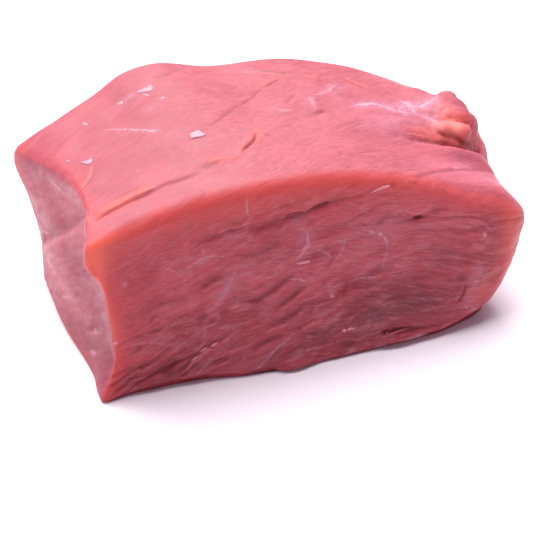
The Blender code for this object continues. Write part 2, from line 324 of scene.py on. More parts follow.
@dataclass
class BlockForm:
    """The plain form of the roast: a rounded box, bent to upright sections along its length."""

    sections: tuple[Section, ...] = (
        Section(0.0, -6.2, 0.6, -2.0, 73.5, 68.2, 92.5, 87.5),
        Section(11.0, -5.3, 0.2, -1.5, 76.5, 74.4, 96.0, 90.0),
        Section(22.0, -6.0, 0.3, -1.0, 79.0, 78.9, 99.0, 92.0),
        Section(36.0, -6.7, 0.4, -0.8, 81.9, 83.8, 103.0, 94.5),
        Section(50.0, -7.8, 0.5, -0.6, 83.5, 90.6, 106.5, 97.0),
        Section(66.0, -10.2, 0.5, 0.2, 84.0, 93.0, 108.4, 98.0),
        Section(90.0, -11.5, 0.5, 1.0, 83.6, 87.0, 110.0, 99.0),
        Section(135.0, -11.5, -1.0, 2.0, 75.0, 84.2, 108.0, 96.0),
        Section(168.0, -11.4, -3.0, -2.0, 63.5, 74.8, 99.0, 88.0),
        Section(200.0, -4.6, -4.0, -4.0, 50.0, 54.0, 82.0, 76.0),
    )
    half_box: tuple[float, float, float] = (102.0, 54.0, 43.0)
    crown: float = 2.0
    back_bulge: float = 4.0
    rim_front_radius: tuple[float, float] = (6.6, 5.4)
    rim_back_radius: float = 9.0
    rim_end_gain: float = 3.0
    foot_radius: float = 3.0
    foot_end_gain: float = 7.0
    foot_near_gain: float = 4.5
    cut_edge_radius: float = 2.1
    cut_back_gain: float = 2.2
    round_end_radius: float = 21.0
    brow_radius: float = 14.0
    cut_hollow: float = 8.0
    cut_flare: float = 9.9
    cut_lean: float = 8.5
    cut_foot: float = 5.4
    end_undercut: float = 20.6
    end_slant: float = 12.0
    end_brow: float = 8.2
    mound_start: float = 146.0
    mound_rise: float = 7.5
    mound_reach: float = 6.0
    mound_foot: float = 34.0
    mound_back: float = 58.0
    mound_fade: float = 0.8

    def along_sections(self, name: str, x: Array) -> Array:
        """A smooth curve through one field of the sections, read at x."""
        stations = np.array([section.x for section in self.sections])
        values = np.array([getattr(section, name) for section in self.sections])
        slopes = np.gradient(values, stations)
        i = np.clip(np.searchsorted(stations, x) - 1, 0, len(stations) - 2)
        span = stations[i + 1] - stations[i]
        t = np.clip((x - stations[i]) / span, 0.0, 1.0)
        start = (1.0 + 2.0 * t) * (1.0 - t) ** 2
        end = t * t * (3.0 - 2.0 * t)
        leave = t * (1.0 - t) ** 2 * span
        arrive = t * t * (t - 1.0) * span
        return start * values[i] + end * values[i + 1] + leave * slopes[i] + arrive * slopes[i + 1]

    def corner_radius(self, unit: Array) -> Array:
        """The rounding radius near each point of the unit cube: tight on the cut edges, wide at the far end."""
        along = (unit[:, 0] + 1.0) / 2.0
        to_end = rising(along, 0.62, 0.38)
        to_back = smooth(unit[:, 1] + 0.5)
        near, far = self.rim_front_radius
        front = near + (far - near) * smooth(along / 0.4)
        rim = front * (1.0 - to_back) + self.rim_back_radius * to_back + self.rim_end_gain * to_end
        foot = self.foot_radius + self.foot_end_gain * to_end + self.foot_near_gain * falling(along, 0.42, 0.2)
        high = rising(unit[:, 2], -0.2, 0.9)
        low = falling(unit[:, 2], 0.2, 0.9)
        radius = (high * rim + low * foot) / (high + low)
        at_cut = falling(along, 0.10, 0.10)
        radius = radius * (1.0 - at_cut) + at_cut * (self.cut_edge_radius + self.cut_back_gain * to_back)
        at_end = rising(along, 0.80, 0.20)
        crest = rising(unit[:, 2], 0.3, 0.6)
        end = self.round_end_radius * (1.0 - crest) + self.brow_radius * crest
        return radius * (1.0 - at_end) + at_end * end

    def rounded_box(self, unit: Array) -> Array:
        """Points of the unit cube's surface, moved onto the rounded box and scaled back to -1..1."""
        half = np.array(self.half_box)
        radius = self.corner_radius(unit)[:, None]
        box = unit * half
        core = np.clip(box, radius - half, half - radius)
        out = box - core
        reach = np.linalg.norm(out, axis=1, keepdims=True)
        return (core + out / np.maximum(reach, 1e-9) * radius * (reach > 0.0)) / half

    def points(self, unit: Array) -> Array:
        """The form in millimetres.

        Each side of the rounded box is swept between the curves through the sections' fields. The
        two ends lie in from their square planes by a hollow, a flare, an undercut and a brow. The
        square cut leans away from its foot, most a third of the way along it, and takes the plateau's
        edge with it. The upper muscle adds a mound at the back of the rounded end.

        Args:
            unit: Points of the unit cube's surface, from -1 to 1.

        Returns:
            One point of the form for each.
        """
        box = self.rounded_box(unit)
        along, across, up = ((box[:, i] + 1.0) / 2.0 for i in range(3))
        length = self.sections[-1].x
        x = along * length
        belly = 4.0 * up * (1.0 - up)
        front = (
            self.along_sections("front_foot", x) * (1.0 - up)
            + self.along_sections("front_shoulder", x) * up
            + self.along_sections("front_waist", x) * belly
        )
        back = (
            self.along_sections("back_foot", x) * (1.0 - up)
            + self.along_sections("back_shoulder", x) * up
            + self.back_bulge * belly
        )
        y = front * (1.0 - across) + back * across
        mound = 1.0 - self.mound_fade * rising(y, self.mound_back, 45.0)
        lean = self.cut_lean * np.clip(np.sin(np.pi * across**0.75), 0.0, 1.0) ** 1.5 * rising(up, 0.30, 0.62)
        over = x + lean * (1.0 - along)
        height = self.along_sections("front_height", over) * (1.0 - across)
        height += self.along_sections("back_height", over) * across + self.crown * 4.0 * across * (1.0 - across)
        risen = rising(x, self.mound_start, 50.0) * rising(y, self.mound_foot - 4.0, 11.0)
        height += self.mound_rise * mound * risen
        hollow = self.cut_hollow * np.sin(np.pi * np.clip(up / 0.95, 0.0, 1.0)) ** 1.2 * (1.0 - up) ** 0.3
        cut = (1.0 - across) * (1.0 - 0.7 * across) * hollow
        cut -= self.cut_foot * rising(across, 0.15, 0.6) * (1.0 - up)
        cut -= self.cut_flare * across * rising(up, 0.25, 0.75)
        cut += lean
        end = length - self.end_undercut * (1.0 - up) ** 1.6 - self.end_slant * across
        end -= self.end_brow * up**2 * (1.0 - across)
        end += self.mound_reach * mound * rising(y, self.mound_foot - 6.0, 26.0) * rising(up, 0.48, 0.44)
        return np.column_stack((cut * (1.0 - along) + end * along, y, height * up))


@dataclass
class SkinGrid:
    """The block's skin as cells on five sides of a unit cube, closed underneath by shrinking rings."""

    cells: tuple[int, int, int] = (230, 112, 97)
    edge_gather: float = 0.22
    rings: tuple[float, ...] = (0.985, 0.94, 0.8, 0.5)
    unit: Array = field(init=False)
    quads: Array = field(init=False)
    fan: Array = field(init=False)
    charts: dict = field(init=False)

    def __post_init__(self) -> None:
        """Numbers the cube's grid points once each, and lists its cells with outward winding."""
        nx, ny, nz = self.cells
        x, y, z = (np.arange(count + 1) for count in self.cells)
        sides = {
            "top": (x, y, [nz]),
            "front": (x, [0], z),
            "back": (x, [ny], z),
            "left": ([0], y, z),
            "right": ([nx], y, z),
        }
        flipped = {"back", "left"}
        keys = {}
        for name, axes in sides.items():
            i, j, k = np.meshgrid(*axes, indexing="ij")
            keys[name] = ((i * (ny + 1) + j) * (nz + 1) + k).squeeze()
        numbered, order = np.unique(np.concatenate([key.ravel() for key in keys.values()]), return_inverse=True)
        order = order.ravel()
        self.charts = {}
        quads = []
        start = 0
        for name, key in keys.items():
            ids = order[start : start + key.size].reshape(key.shape)
            start += key.size
            self.charts[name] = ids
            cells = np.stack([ids[:-1, :-1], ids[1:, :-1], ids[1:, 1:], ids[:-1, 1:]], axis=-1).reshape(-1, 4)
            quads.append(cells[:, ::-1] if name in flipped else cells)
        i, rest = np.divmod(numbered, (ny + 1) * (nz + 1))
        j, k = np.divmod(rest, nz + 1)
        unit = np.column_stack([self.spaced(i / nx), self.spaced(j / ny), self.spaced(k / nz)])

        front, back = self.charts["front"][:, 0], self.charts["back"][:, 0]
        left, right = self.charts["left"][:, 0], self.charts["right"][:, 0]
        loop = np.concatenate([front[:-1], right[:-1], back[:0:-1], left[:0:-1]])
        outer = loop
        flat = unit[loop, :2]
        for ring in self.rings:
            inner = len(unit) + np.arange(len(loop))
            unit = np.vstack([unit, np.column_stack([flat * ring, np.full(len(loop), -1.0)])])
            quads.append(np.stack([outer, inner, np.roll(inner, -1), np.roll(outer, -1)], axis=-1))
            outer = inner
        centre = len(unit)
        self.unit = np.vstack([unit, [[0.0, 0.0, -1.0]]])
        self.quads = np.vstack(quads)
        self.fan = np.stack([outer, np.full(len(outer), centre), np.roll(outer, -1)], axis=-1)

    def spaced(self, t: Array) -> Array:
        """Grid lines from -1 to 1, gathered towards both edges by a sine."""
        return 2.0 * (t - self.edge_gather * np.sin(2.0 * np.pi * t) / (2.0 * np.pi)) - 1.0

    def normals(self, points: Array) -> Array:
        """The skin's normals: the cells' own, summed at each corner and brought to length 1."""
        a, b, c, d = (points[self.quads[:, i]] for i in range(4))
        facing = np.cross(c - a, d - b)
        total = np.zeros_like(points)
        for corner in range(4):
            for axis in range(3):
                total[:, axis] += np.bincount(self.quads[:, corner], facing[:, axis], minlength=len(points))
        total[self.fan[:, 1]] = (0.0, 0.0, -1.0)
        return total / np.maximum(np.linalg.norm(total, axis=1, keepdims=True), 1e-12)


@dataclass
class Chart:
    """One side of the finished skin, on which thin pieces are laid by their two drawing axes."""

    face: Face
    points: Array
    normals: Array

    def lift(self, places: Array, height: Array) -> tuple[Array, Array]:
        """Finds the skin under each place.

        The place is turned into a grid position by stepping there: the miss is divided by the
        chart's local stretch and added, a few times over.

        Args:
            places: Where the piece runs, in the side's two axes.
            height: How far above the skin each point comes to lie.

        Returns:
            The points, and the skin's normals there.
        """
        rows, columns = self.points.shape[:2]
        flat = self.points[..., self.face.axes]
        low = flat.reshape(-1, 2).min(axis=0)
        span = flat.reshape(-1, 2).max(axis=0) - low
        at = (places - low) / span * (rows - 1, columns - 1)
        for _ in range(12):
            here = self.read(flat, at)
            ahead = self.read(flat, at + (1.0, 0.0)) - here
            aside = self.read(flat, at + (0.0, 1.0)) - here
            miss = places - here
            area = ahead[:, 0] * aside[:, 1] - ahead[:, 1] * aside[:, 0]
            area = np.where(np.abs(area) < 1e-4, 1e-4, area)
            step = np.column_stack([
                (miss[:, 0] * aside[:, 1] - miss[:, 1] * aside[:, 0]) / area,
                (ahead[:, 0] * miss[:, 1] - ahead[:, 1] * miss[:, 0]) / area,
            ])
            at = np.clip(at + np.clip(step, -9.0, 9.0), 0.0, (rows - 1.001, columns - 1.001))
        normals = self.read(self.normals, at)
        normals /= np.linalg.norm(normals, axis=1, keepdims=True)
        return self.read(self.points, at) + normals * np.asarray(height)[:, None], normals

    @staticmethod
    def read(grid: Array, at: Array) -> Array:
        """The grid's value at each position, blended from the four corners of its cell."""
        at = np.clip(at, 0.0, (grid.shape[0] - 1.001, grid.shape[1] - 1.001))
        cell = at.astype(int)
        t = (at - cell)[:, :, None]
        i, j = cell[:, 0], cell[:, 1]
        low = grid[i, j] * (1.0 - t[:, 0]) + grid[i + 1, j] * t[:, 0]
        high = grid[i, j + 1] * (1.0 - t[:, 0]) + grid[i + 1, j + 1] * t[:, 0]
        return low * (1.0 - t[:, 1]) + high * t[:, 1]


@dataclass
class Furrow(Line):
    """A broad groove that the CAD solid has too, with a lip on its left."""

    depth: float
    half_width: float
    lip: float = 0.0

    def press(self, skin: Skin) -> None:
        """Lowers the skin along the line and raises its lip, in place."""
        rows, gap, _, shown = self.beside(skin, 3.0 * self.half_width)
        groove = self.depth * (1.0 - smooth(np.abs(gap) / self.half_width))
        lip = self.lip * np.exp(-(((np.abs(gap) - self.half_width) / self.half_width) ** 2)) * (gap > 0.0)
        skin.raised[rows] += shown * (lip - groove)


@dataclass
class Hollow:
    """A broad soft dent in one side, or a swelling where its depth is negative."""

    face: Face
    centre: tuple[float, float]
    spread: tuple[float, float]
    depth: float

    def press(self, skin: Skin) -> None:
        """Lowers the skin by a bell curve about the centre, in place."""
        offset = (skin.points[:, self.face.axes] - np.array(self.centre)) / np.array(self.spread)
        skin.raised -= self.face.shown_by(skin.normals) * self.depth * np.exp(-np.sum(offset**2, axis=1))


@dataclass
class Scrap:
    """A torn scrap that swells out of the skin: a lumpy ellipsoid, turned about Z and tilted towards +X."""

    centre: tuple[float, float, float]
    radii: tuple[float, float, float]
    turn: float
    tilt: float
    unevenness: float = 0.10
    blend: float = 0.22

    def swell(self, points: Array) -> Array:
        """Moves the points inside the ellipsoid out to its surface, easing over near it.

        Args:
            points: The skin's points.

        Returns:
            The moved points.
        """
        turn = Matrix.Rotation(self.turn, 3, "Z") @ Matrix.Rotation(self.tilt, 3, "Y")
        axes = np.array(turn)
        offset = points - np.array(self.centre)
        local = (offset @ axes) / np.array(self.radii)
        lumps = gradient_noise(local * 1.1 + 7.3, 21) + 0.5 * gradient_noise(local * 2.3, 22)
        reach = np.linalg.norm(local, axis=1) / (1.0 + self.unevenness * lumps)
        target = (reach + 1.0 + np.sqrt((reach - 1.0) ** 2 + self.blend**2)) / 2.0
        near = falling(reach, 2.2, 0.9)
        grow = 1.0 + near * (target / np.maximum(reach, 0.12) - 1.0)
        return np.array(self.centre) + offset * grow[:, None]


@dataclass
class Slit(Line):
    """An open crack or the edge of a fold, with painted shade along its bottom, a painted coral glow on its thin
    proud edge, and one side standing proud.
    """

    depth: float
    half_width: float
    step: float = 0.0
    step_reach: float = 6.0
    # dark and dark_width: strength and half width of the painted shade line at the bottom; coral: strength of the
    # painted glow on the proud edge.
    dark: float = 1.0
    dark_width: float = 0.5
    coral: float = 0.0

    def press(self, skin: Skin) -> None:
        """Opens the slit and raises the side that stands proud, in place."""
        rows, gap, along, shown = self.beside(skin, max(3.0 * self.half_width, 2.0 * abs(self.step_reach)))
        side = gap * math.copysign(1.0, self.step)
        groove = self.depth * np.exp(-((gap / self.half_width) ** 2))
        proud = abs(self.step) * smooth(side / 1.2 + 0.5) * (1.0 - smooth(side / self.step_reach))
        skin.raised[rows] += shown * tapered(along) * (proud - groove)

    def paint(self, skin: Skin) -> None:
        """Writes the painted shade line along the bottom, and the painted coral glow of the thin proud edge."""
        rows, gap, along, shown = self.beside(skin, 9.0)
        # Painted shade along the slit's bottom.
        skin.paint.line("painted_shade_line", rows, gap, self.dark_width * tapered(along, 0.3), shown * self.dark)
        # Painted coral glow on the thin proud edge.
        side = gap * math.copysign(1.0, self.step)
        glow = self.coral * shown * tapered(along) * np.exp(-(((side - 1.6) / 2.2) ** 2))
        skin.paint.strongest("coral", rows, glow)


@dataclass
class Vein(Line):
    """A thin pale strand of connective tissue in the surface."""

    half_width: float = 0.3
    strength: float = 0.8
    haze: float = 0.0

    def paint(self, skin: Skin) -> None:
        """Writes the pale line and the milky haze about it."""
        rows, gap, along, shown = self.beside(skin, 9.0)
        skin.paint.line("pale_line", rows, gap, self.half_width * tapered(along, 0.35), shown * self.strength)
        skin.paint.strongest("film", rows, self.haze * shown * tapered(along) * np.exp(-((gap / 2.6) ** 2)))


class PatchTone(Enum):
    """What a soft patch of the surface shows, by the attribute that carries it: tones of the meat, and painted
    glow, light, shade and highlights.
    """

    # Painted glow of light through thin edges and flaps.
    CORAL = "coral"
    FILM = "film"
    # A mauve tone of the meat, and painted shade in dents and under ledges.
    MAUVE = "mauve"
    # White flecks, and painted highlights.
    WHITE = "white"
    # A deeper tone of the meat, and painted shade low on the front, above cracks and under ledges.
    DEEP = "deep"
    # A lighter tone of the meat, and painted light along the foot and below the seam of the square cut.
    ROSE = "rose"
    # Painted light on thin edges that catch it.
    LIT = "lit"


@dataclass
class Patch:
    """A soft-edged patch on one side: another tone of the meat, painted light, painted glow, painted shade or a
    painted highlight, as its kind says.
    """

    patch_tone: PatchTone
    face: Face
    centre: tuple[float, float]
    spread: tuple[float, float]
    turn: float = 0.0
    amount: float = 1.0

    def paint(self, skin: Skin) -> None:
        """Adds the patch as a bell curve about its centre, turned by its angle in degrees."""
        offset = skin.points[:, self.face.axes] - np.array(self.centre)
        angle = math.radians(self.turn)
        spun = offset @ np.array([[math.cos(angle), -math.sin(angle)], [math.sin(angle), math.cos(angle)]])
        bell = np.exp(-np.sum((spun / np.array(self.spread)) ** 2, axis=1))
        skin.paint.add(self.patch_tone.value, self.amount * self.face.shown_by(skin.normals) * bell)


def add_node(
    tree: bpy.types.NodeTree,
    kind: str,
    settings: Optional[dict[str, Any]] = None,
    inputs: Optional[dict[Any, Any]] = None,
) -> bpy.types.Node:
    """Adds one node with its settings, and fills or links its inputs.

    Args:
        tree: The node tree.
        kind: Blender's name for the node.
        settings: The node's own properties.
        inputs: Socket names or numbers, each with a value or with the output that feeds it.

    Returns:
        The node.
    """
    node = tree.nodes.new(kind)
    for name, value in (settings or {}).items():
        setattr(node, name, value)
    for name, value in (inputs or {}).items():
        if isinstance(value, bpy.types.NodeSocket):
            tree.links.new(value, node.inputs[name])
        else:
            node.inputs[name].default_value = value
    return node


def mesh_piece(name: str, points: Array, faces: list, smooth_shaded: bool = True) -> bpy.types.Object:
    """A mesh object at the origin whose points are already in the frame's metres.

    Args:
        name: The piece's name.
        points: One row a point, in millimetres from the left front foot.
        faces: Arrays of faces, each with its own number of corners.
        smooth_shaded: Whether its faces shade as one surface.

    Returns:
        The linked object.
    """
    mesh = bpy.data.meshes.new(name)
    placed = to_frame(points).astype(np.float32)
    corners = np.concatenate([group.ravel() for group in faces]).astype(np.int32)
    sizes = np.concatenate([np.full(len(group), group.shape[1]) for group in faces])
    starts = (np.cumsum(sizes) - sizes).astype(np.int32)
    mesh.vertices.add(len(placed))
    mesh.vertices.foreach_set("co", placed.ravel())
    mesh.loops.add(len(corners))
    mesh.loops.foreach_set("vertex_index", corners)
    mesh.polygons.add(len(sizes))
    mesh.polygons.foreach_set("loop_start", starts)
    mesh.polygons.foreach_set("use_smooth", np.full(len(sizes), smooth_shaded))
    mesh.update(calc_edges=True)
    mesh.validate()
    piece = bpy.data.objects.new(name, mesh)
    bpy.context.scene.collection.objects.link(piece)
    return piece


@dataclass
class Crease(Line):
    """A soft valley between two bundles, with painted shade in its bed and a painted highlight on the rounded lip
    on its lower side.
    """

    depth: float = 0.6
    half_width: float = 1.0
    # shade: strength of the painted shade in the bed; lip: strength of the painted highlight on the lip.
    shade: float = 0.6
    lip: float = 0.35

    def press(self, skin: Skin) -> None:
        """Sinks the valley and raises its lip, in place."""
        rows, gap, along, shown = self.beside(skin, 5.0 * self.half_width)
        bed = np.exp(-((gap / self.half_width) ** 2))
        lip = np.exp(-(((gap + 1.7 * self.half_width) / self.half_width) ** 2))
        skin.raised[rows] += 0.7 * shown * tapered(along, 0.3) * self.depth * (0.45 * lip - bed)

    def paint(self, skin: Skin) -> None:
        """Writes the painted shade of the bed, which fades further on the upper side, and the painted highlight of
        the lip.
        """
        rows, gap, along, shown = self.beside(skin, 5.0 * self.half_width)
        strength = shown * tapered(along, 0.35)
        # Painted shade in the bed, reaching further on the upper side.
        reach = np.where(gap > 0.0, 2.3, 0.95) * self.half_width
        skin.paint.strongest("shade", rows, self.shade * strength * np.exp(-((gap / reach) ** 2)))
        # Painted highlight on the lip.
        lip = np.exp(-(((gap + 1.5 * self.half_width) / (0.65 * self.half_width)) ** 2))
        skin.paint.strongest("lip", rows, self.lip * strength * lip)


@dataclass
class Wrinkles:
    """A torn or crumpled stretch of one side: ridged noise in two sizes that fades out from its middle."""

    face: Face
    centre: tuple[float, float]
    spread: tuple[float, float]
    height: float
    size: float
    seed: int

    def press(self, skin: Skin) -> None:
        """Raises the ridges and sinks the folds between them, in place."""
        offset = (skin.points[:, self.face.axes] - np.array(self.centre)) / np.array(self.spread)
        force = self.height * self.face.shown_by(skin.normals) * np.exp(-(np.sum(offset**2, axis=1) ** 2))
        rows = np.flatnonzero(force > 0.01)
        near = skin.points[rows]
        broad = np.abs(gradient_noise(near / self.size, self.seed))
        fine = np.abs(gradient_noise(near * 2.3 / self.size, self.seed + 1))
        skin.raised[rows] += force[rows] * (1.6 * np.sqrt(broad + 0.01) + 0.7 * np.sqrt(fine + 0.01) - 1.0)


@dataclass
class Fleck:
    """A torn flake of membrane that lies on one side: its corners in that side's two axes."""

    face: Face
    corners: Places
    thickness: float = 0.35

    def outline(self, count: int = 44) -> Array:
        """The edge of the flake: its polygon, resampled evenly and worn a little at the corners."""
        corners = np.array((*self.corners, self.corners[0]))
        lengths = np.concatenate([[0.0], np.cumsum(np.linalg.norm(np.diff(corners, axis=0), axis=1))])
        at = np.linspace(0.0, lengths[-1], count, endpoint=False)
        edge = np.column_stack([np.interp(at, lengths, corners[:, axis]) for axis in (0, 1)])
        return 0.5 * edge + 0.25 * (np.roll(edge, 1, axis=0) + np.roll(edge, -1, axis=0))

    def surface(self, chart: Chart) -> tuple[Array, Array]:
        """The flake as rings from its middle to its edge, domed, and tucked into the skin at the edge.

        Args:
            chart: The side that it lies on.

        Returns:
            The points and the faces, four corners each.
        """
        edge = self.outline()
        middle = edge.mean(axis=0)
        rings = np.array([0.02, 0.3, 0.55, 0.75, 0.9, 0.98, 1.03])
        rise = self.thickness * np.array([1.0, 1.0, 0.95, 0.85, 0.7, 0.45, -0.4])
        places = (middle + rings[:, None, None] * (edge - middle)).reshape(-1, 2)
        ruffle = 1.0 + 0.35 * gradient_noise(np.column_stack([places / 1.4, places[:, :1] * 0.0]), 61)
        points, _ = chart.lift(places, np.repeat(rise, len(edge)) * ruffle)
        return points, ring_faces(len(rings), len(edge))


def ring_faces(rings: int, around: int, closed: bool = True) -> Array:
    """The quads between neighbouring rings of points, which close on themselves where asked."""
    ring, step = np.meshgrid(np.arange(rings - 1), np.arange(around if closed else around - 1), indexing="ij")
    a = ring * around + step
    b = ring * around + (step + 1) % around
    return np.stack([a, b, b + around, a + around], axis=-1).reshape(-1, 4)


@dataclass
class FibreEnds:
    """Loose ends of fibres, thinner than a millimetre, that lie on one side like short pale hairs.

    Real ends are down to 0.05 mm thick. They are drawn at about 0.3 mm, the finest that shows.
    """

    face: Face
    low: tuple[float, float]
    high: tuple[float, float]
    count: int
    slopes: Places
    length: tuple[float, float] = (2.5, 8.0)
    width: tuple[float, float] = (0.15, 0.28)
    spread: float = 0.16
    seed: int = 71

    def surface(self, chart: Chart, steps: int = 9) -> tuple[Array, Array]:
        """All the ends at once, each a low bowed ridge of three points across.

        Args:
            chart: The side that they lie on.
            steps: Points along each end.

        Returns:
            The points and the faces, four corners each.
        """
        rng = np.random.default_rng(self.seed)
        centre = rng.uniform(self.low, self.high, (self.count, 2))
        length = rng.uniform(*self.length, self.count)
        half_width = 0.5 * rng.uniform(*self.width, self.count)
        knots = np.array(self.slopes)
        angle = np.arctan(np.interp(centre[:, 0], knots[:, 0], knots[:, 1]))
        angle += rng.normal(0.0, self.spread, self.count)
        bow = rng.normal(0.0, 0.10, self.count) * length
        run = np.column_stack([np.cos(angle), np.sin(angle)])
        side = np.column_stack([-run[:, 1], run[:, 0]])
        t = np.linspace(-0.5, 0.5, steps)
        spine = centre[:, None] + (t * length[:, None])[..., None] * run[:, None]
        spine += ((t**2 - 0.08) * bow[:, None])[..., None] * side[:, None]
        taper = np.sqrt(np.clip(1.0 - (2.0 * t) ** 2, 0.02, 1.0)) * half_width[:, None]
        across = np.array([-1.0, 0.0, 1.0])
        places = spine[:, :, None] + (taper[..., None] * across)[..., None] * side[:, None, None]
        height = np.broadcast_to(np.array([-0.05, 0.09, -0.05]), places.shape[:3])
        points, _ = chart.lift(places.reshape(-1, 2), height.reshape(-1))
        strip = ring_faces(steps, 3, closed=False)
        faces = strip[None] + (np.arange(self.count) * steps * 3)[:, None, None]
        return points, faces.reshape(-1, 4)


@dataclass
class Grain:
    """The run of the fibres in each side, and the bundles that they gather in.

    The cut front shows the bundles lengthwise: they climb from the lower left and level out to the
    right. Loose ends of single fibres lie across them and fall towards the right. The plateau shows
    the grain at a slant, and the square cut shows the bundles end on, as a mosaic.

    Bundles, strands and the mosaic are cells by length and width. A zone is bounded by a height or
    a length, with the span that it fades over.
    """

    bundle_slopes: Places = (
        (-20.0, 0.44), (30.0, 0.42), (60.0, 0.34), (90.0, 0.24), (115.0, 0.05), (150.0, -0.14), (210.0, -0.22),
    )
    hair_slopes: Places = (
        (-20.0, 0.0), (40.0, -0.03), (80.0, -0.10), (130.0, -0.16), (170.0, -0.17), (210.0, -0.1),
    )
    top_turn: float = 20.0
    bundle: tuple[float, float] = (30.0, 6.5)
    strand: tuple[float, float] = (13.0, 2.4)
    mosaic: tuple[float, float] = (9.5, 4.0)
    mosaic_lean: float = 0.66
    bundle_height: float = 0.42
    strand_height: float = 0.16
    crease_depth: float = 0.30
    top_height: float = 0.20
    mosaic_height: float = 0.09
    swell_height: float = 0.45
    swell_size: float = 26.0
    top_bundle: tuple[float, float] = (30.0, 9.0)
    top_strand: tuple[float, float] = (9.0, 2.6)
    calm_share: float = 0.30
    calm_above: tuple[float, float] = (56.0, 26.0)
    calm_before: tuple[float, float] = (60.0, 40.0)
    level_band: tuple[float, float] = (37.0, 11.0)
    level_before: tuple[float, float] = (72.0, 25.0)
    climb_below: tuple[float, float] = (26.0, 16.0)
    climb_before: tuple[float, float] = (95.0, 34.0)

    @staticmethod
    def rise(x: Array, slopes: Places) -> Array:
        """How far fibres of the given slopes have climbed at x: the running sum of their slope."""
        table = np.arange(-20.0, 211.0)
        knots = np.array(slopes)
        return np.interp(x, table, np.cumsum(np.interp(table, knots[:, 0], knots[:, 1])))

    def side_flow(self, points: Array, slopes: Places, seed: int) -> Array:
        """Places along and across the fibres on the front, the round end and the back.

        Args:
            points: The skin's points.
            slopes: The slope of the fibres at some x.
            seed: Sets how the fibres waver.

        Returns:
            The place along, the place across and a little depth.
        """
        x, y, z = points.T
        waver = 2.6 * gradient_noise(np.column_stack([x / 26.0, z / 16.0, y / 60.0]), seed)
        waver += 0.8 * gradient_noise(np.column_stack([x / 8.0, z / 6.0, y / 60.0]), seed + 1)
        return np.column_stack([x + y, z - self.rise(x, slopes) + waver, 0.05 * y])

    def top_flow(self, points: Array) -> Array:
        """Places along and across the fibres on the plateau: x and y turned by their slant."""
        x, y, _ = points.T
        waver = 3.2 * gradient_noise(np.column_stack([x / 34.0, y / 24.0, x * 0.0]), 4)
        turn = math.radians(self.top_turn)
        along = x * math.cos(turn) + y * math.sin(turn)
        return np.column_stack([along, y * math.cos(turn) - x * math.sin(turn) + waver, x * 0.0])

    def zones(self, x: Array, z: Array) -> tuple[Array, Array]:
        """Where the front is calm, where its fibres lie level and where they climb.

        Args:
            x: The points' places along the roast.
            z: Their heights.

        Returns:
            The share of the relief that each point keeps, and how much its fibres climb, from -1 to 1.
        """
        level = np.exp(-(((z - self.level_band[0]) / self.level_band[1]) ** 2)) * falling(x, *self.level_before)
        climb = falling(z, *self.climb_below) * falling(x, *self.climb_before)
        lively = np.maximum(falling(z, *self.calm_above), rising(x, *self.calm_before))
        kept = self.calm_share + (1.0 - self.calm_share) * lively
        return kept * (1.0 + 1.3 * climb - 0.5 * level), climb - level

    def press_sides(self, skin: Skin, side: Array) -> None:
        """Presses noise drawn out along the fibres into the lengthwise sides. Its zero lines are the creases, which
        get painted shade.
        """
        flow = self.side_flow(skin.points, self.bundle_slopes, 3)
        broad = gradient_noise(flow / (*self.bundle, 1.0), 11)
        fine = gradient_noise(flow / (*self.strand, 1.0) + 3.7, 12)
        broken = smooth(0.5 + 1.2 * gradient_noise(flow / (16.0, 7.0, 1.0), 13))
        crease = np.exp(-((broad / 0.09) ** 2)) * broken
        kept, climb = self.zones(skin.points[:, 0], skin.points[:, 2])
        swell = self.bundle_height * np.sqrt(np.abs(broad) + 0.02) + self.strand_height * fine
        skin.raised += side * kept * (swell - 0.15 - self.crease_depth * crease)
        # Painted shade in the creases between the bundles.
        skin.paint.add("shade", 0.36 * side * kept * crease)
        skin.paint.add("climb", smooth(side * climb))
        skin.paint.triple["bundles"] = flow
        skin.paint.triple["hairs"] = self.side_flow(skin.points, self.hair_slopes, 6)

    def press_plateau(self, skin: Skin, deck: Array) -> None:
        """Presses a low swell of the same kind into the plateau, at the slant of its fibres."""
        slant = self.top_flow(skin.points)
        broad = gradient_noise(slant / (*self.top_bundle, 1.0), 14)
        fine = gradient_noise(slant / (*self.top_strand, 1.0), 15)
        skin.raised += deck * self.top_height * (broad + 0.3 * fine)
        skin.paint.add("deck", deck)
        skin.paint.triple["slant"] = slant

    def press_cut(self, skin: Skin, cut: Array) -> None:
        """Presses a mosaic of cells into the square cut, which leans because the knife cut at a slant, and paints
        shade into the walls between the cells.
        """
        x, y, z = skin.points.T
        wide, high = self.mosaic
        ends = np.column_stack([y / wide, (z + self.mosaic_lean * y) / high, x / high])
        nearest, second = cell_noise(ends[:, :2] + 11.0, 16)
        wall = 1.0 - smooth((second - nearest) / 0.45)
        skin.raised -= cut * self.mosaic_height * wall
        # Painted shade in the walls between the cells.
        skin.paint.add("shade", 0.11 * cut * wall)
        skin.paint.add("cut", cut)
        skin.paint.triple["ends"] = ends

    def press(self, skin: Skin) -> None:
        """Raises the bundles, sinks the creases between them, paints shade into the creases and the mosaic's walls,
        and paints where each kind of grain lies.

        Args:
            skin: Is raised in place. Its paint gets the attributes `shade`, `deck`, `cut`, `vivid`,
                `bare`, `climb`, `bundles`, `hairs`, `slant` and `ends`.
        """
        deck = Face.TOP.shown_by(skin.normals)
        cut = smooth(Face.LEFT.shown_by(skin.normals) / 0.6)
        side = np.clip(1.0 - deck - cut, 0.0, 1.0)
        self.press_sides(skin, side)
        self.press_plateau(skin, deck)
        self.press_cut(skin, cut)
        skin.raised += self.swell_height * gradient_noise(skin.points / self.swell_size, 17)
        x, z = skin.points[:, 0], skin.points[:, 2]
        faint = 0.38 * side * falling(x, 76.0, 34.0) * rising(z, 20.0, 16.0) + 0.78 * cut
        skin.paint.add("vivid", 1.0 - faint - deck * (0.22 + 0.48 * falling(x, 84.0, 56.0)))
        skin.paint.add("bare", 1.0 - smooth(np.maximum(deck, cut)))


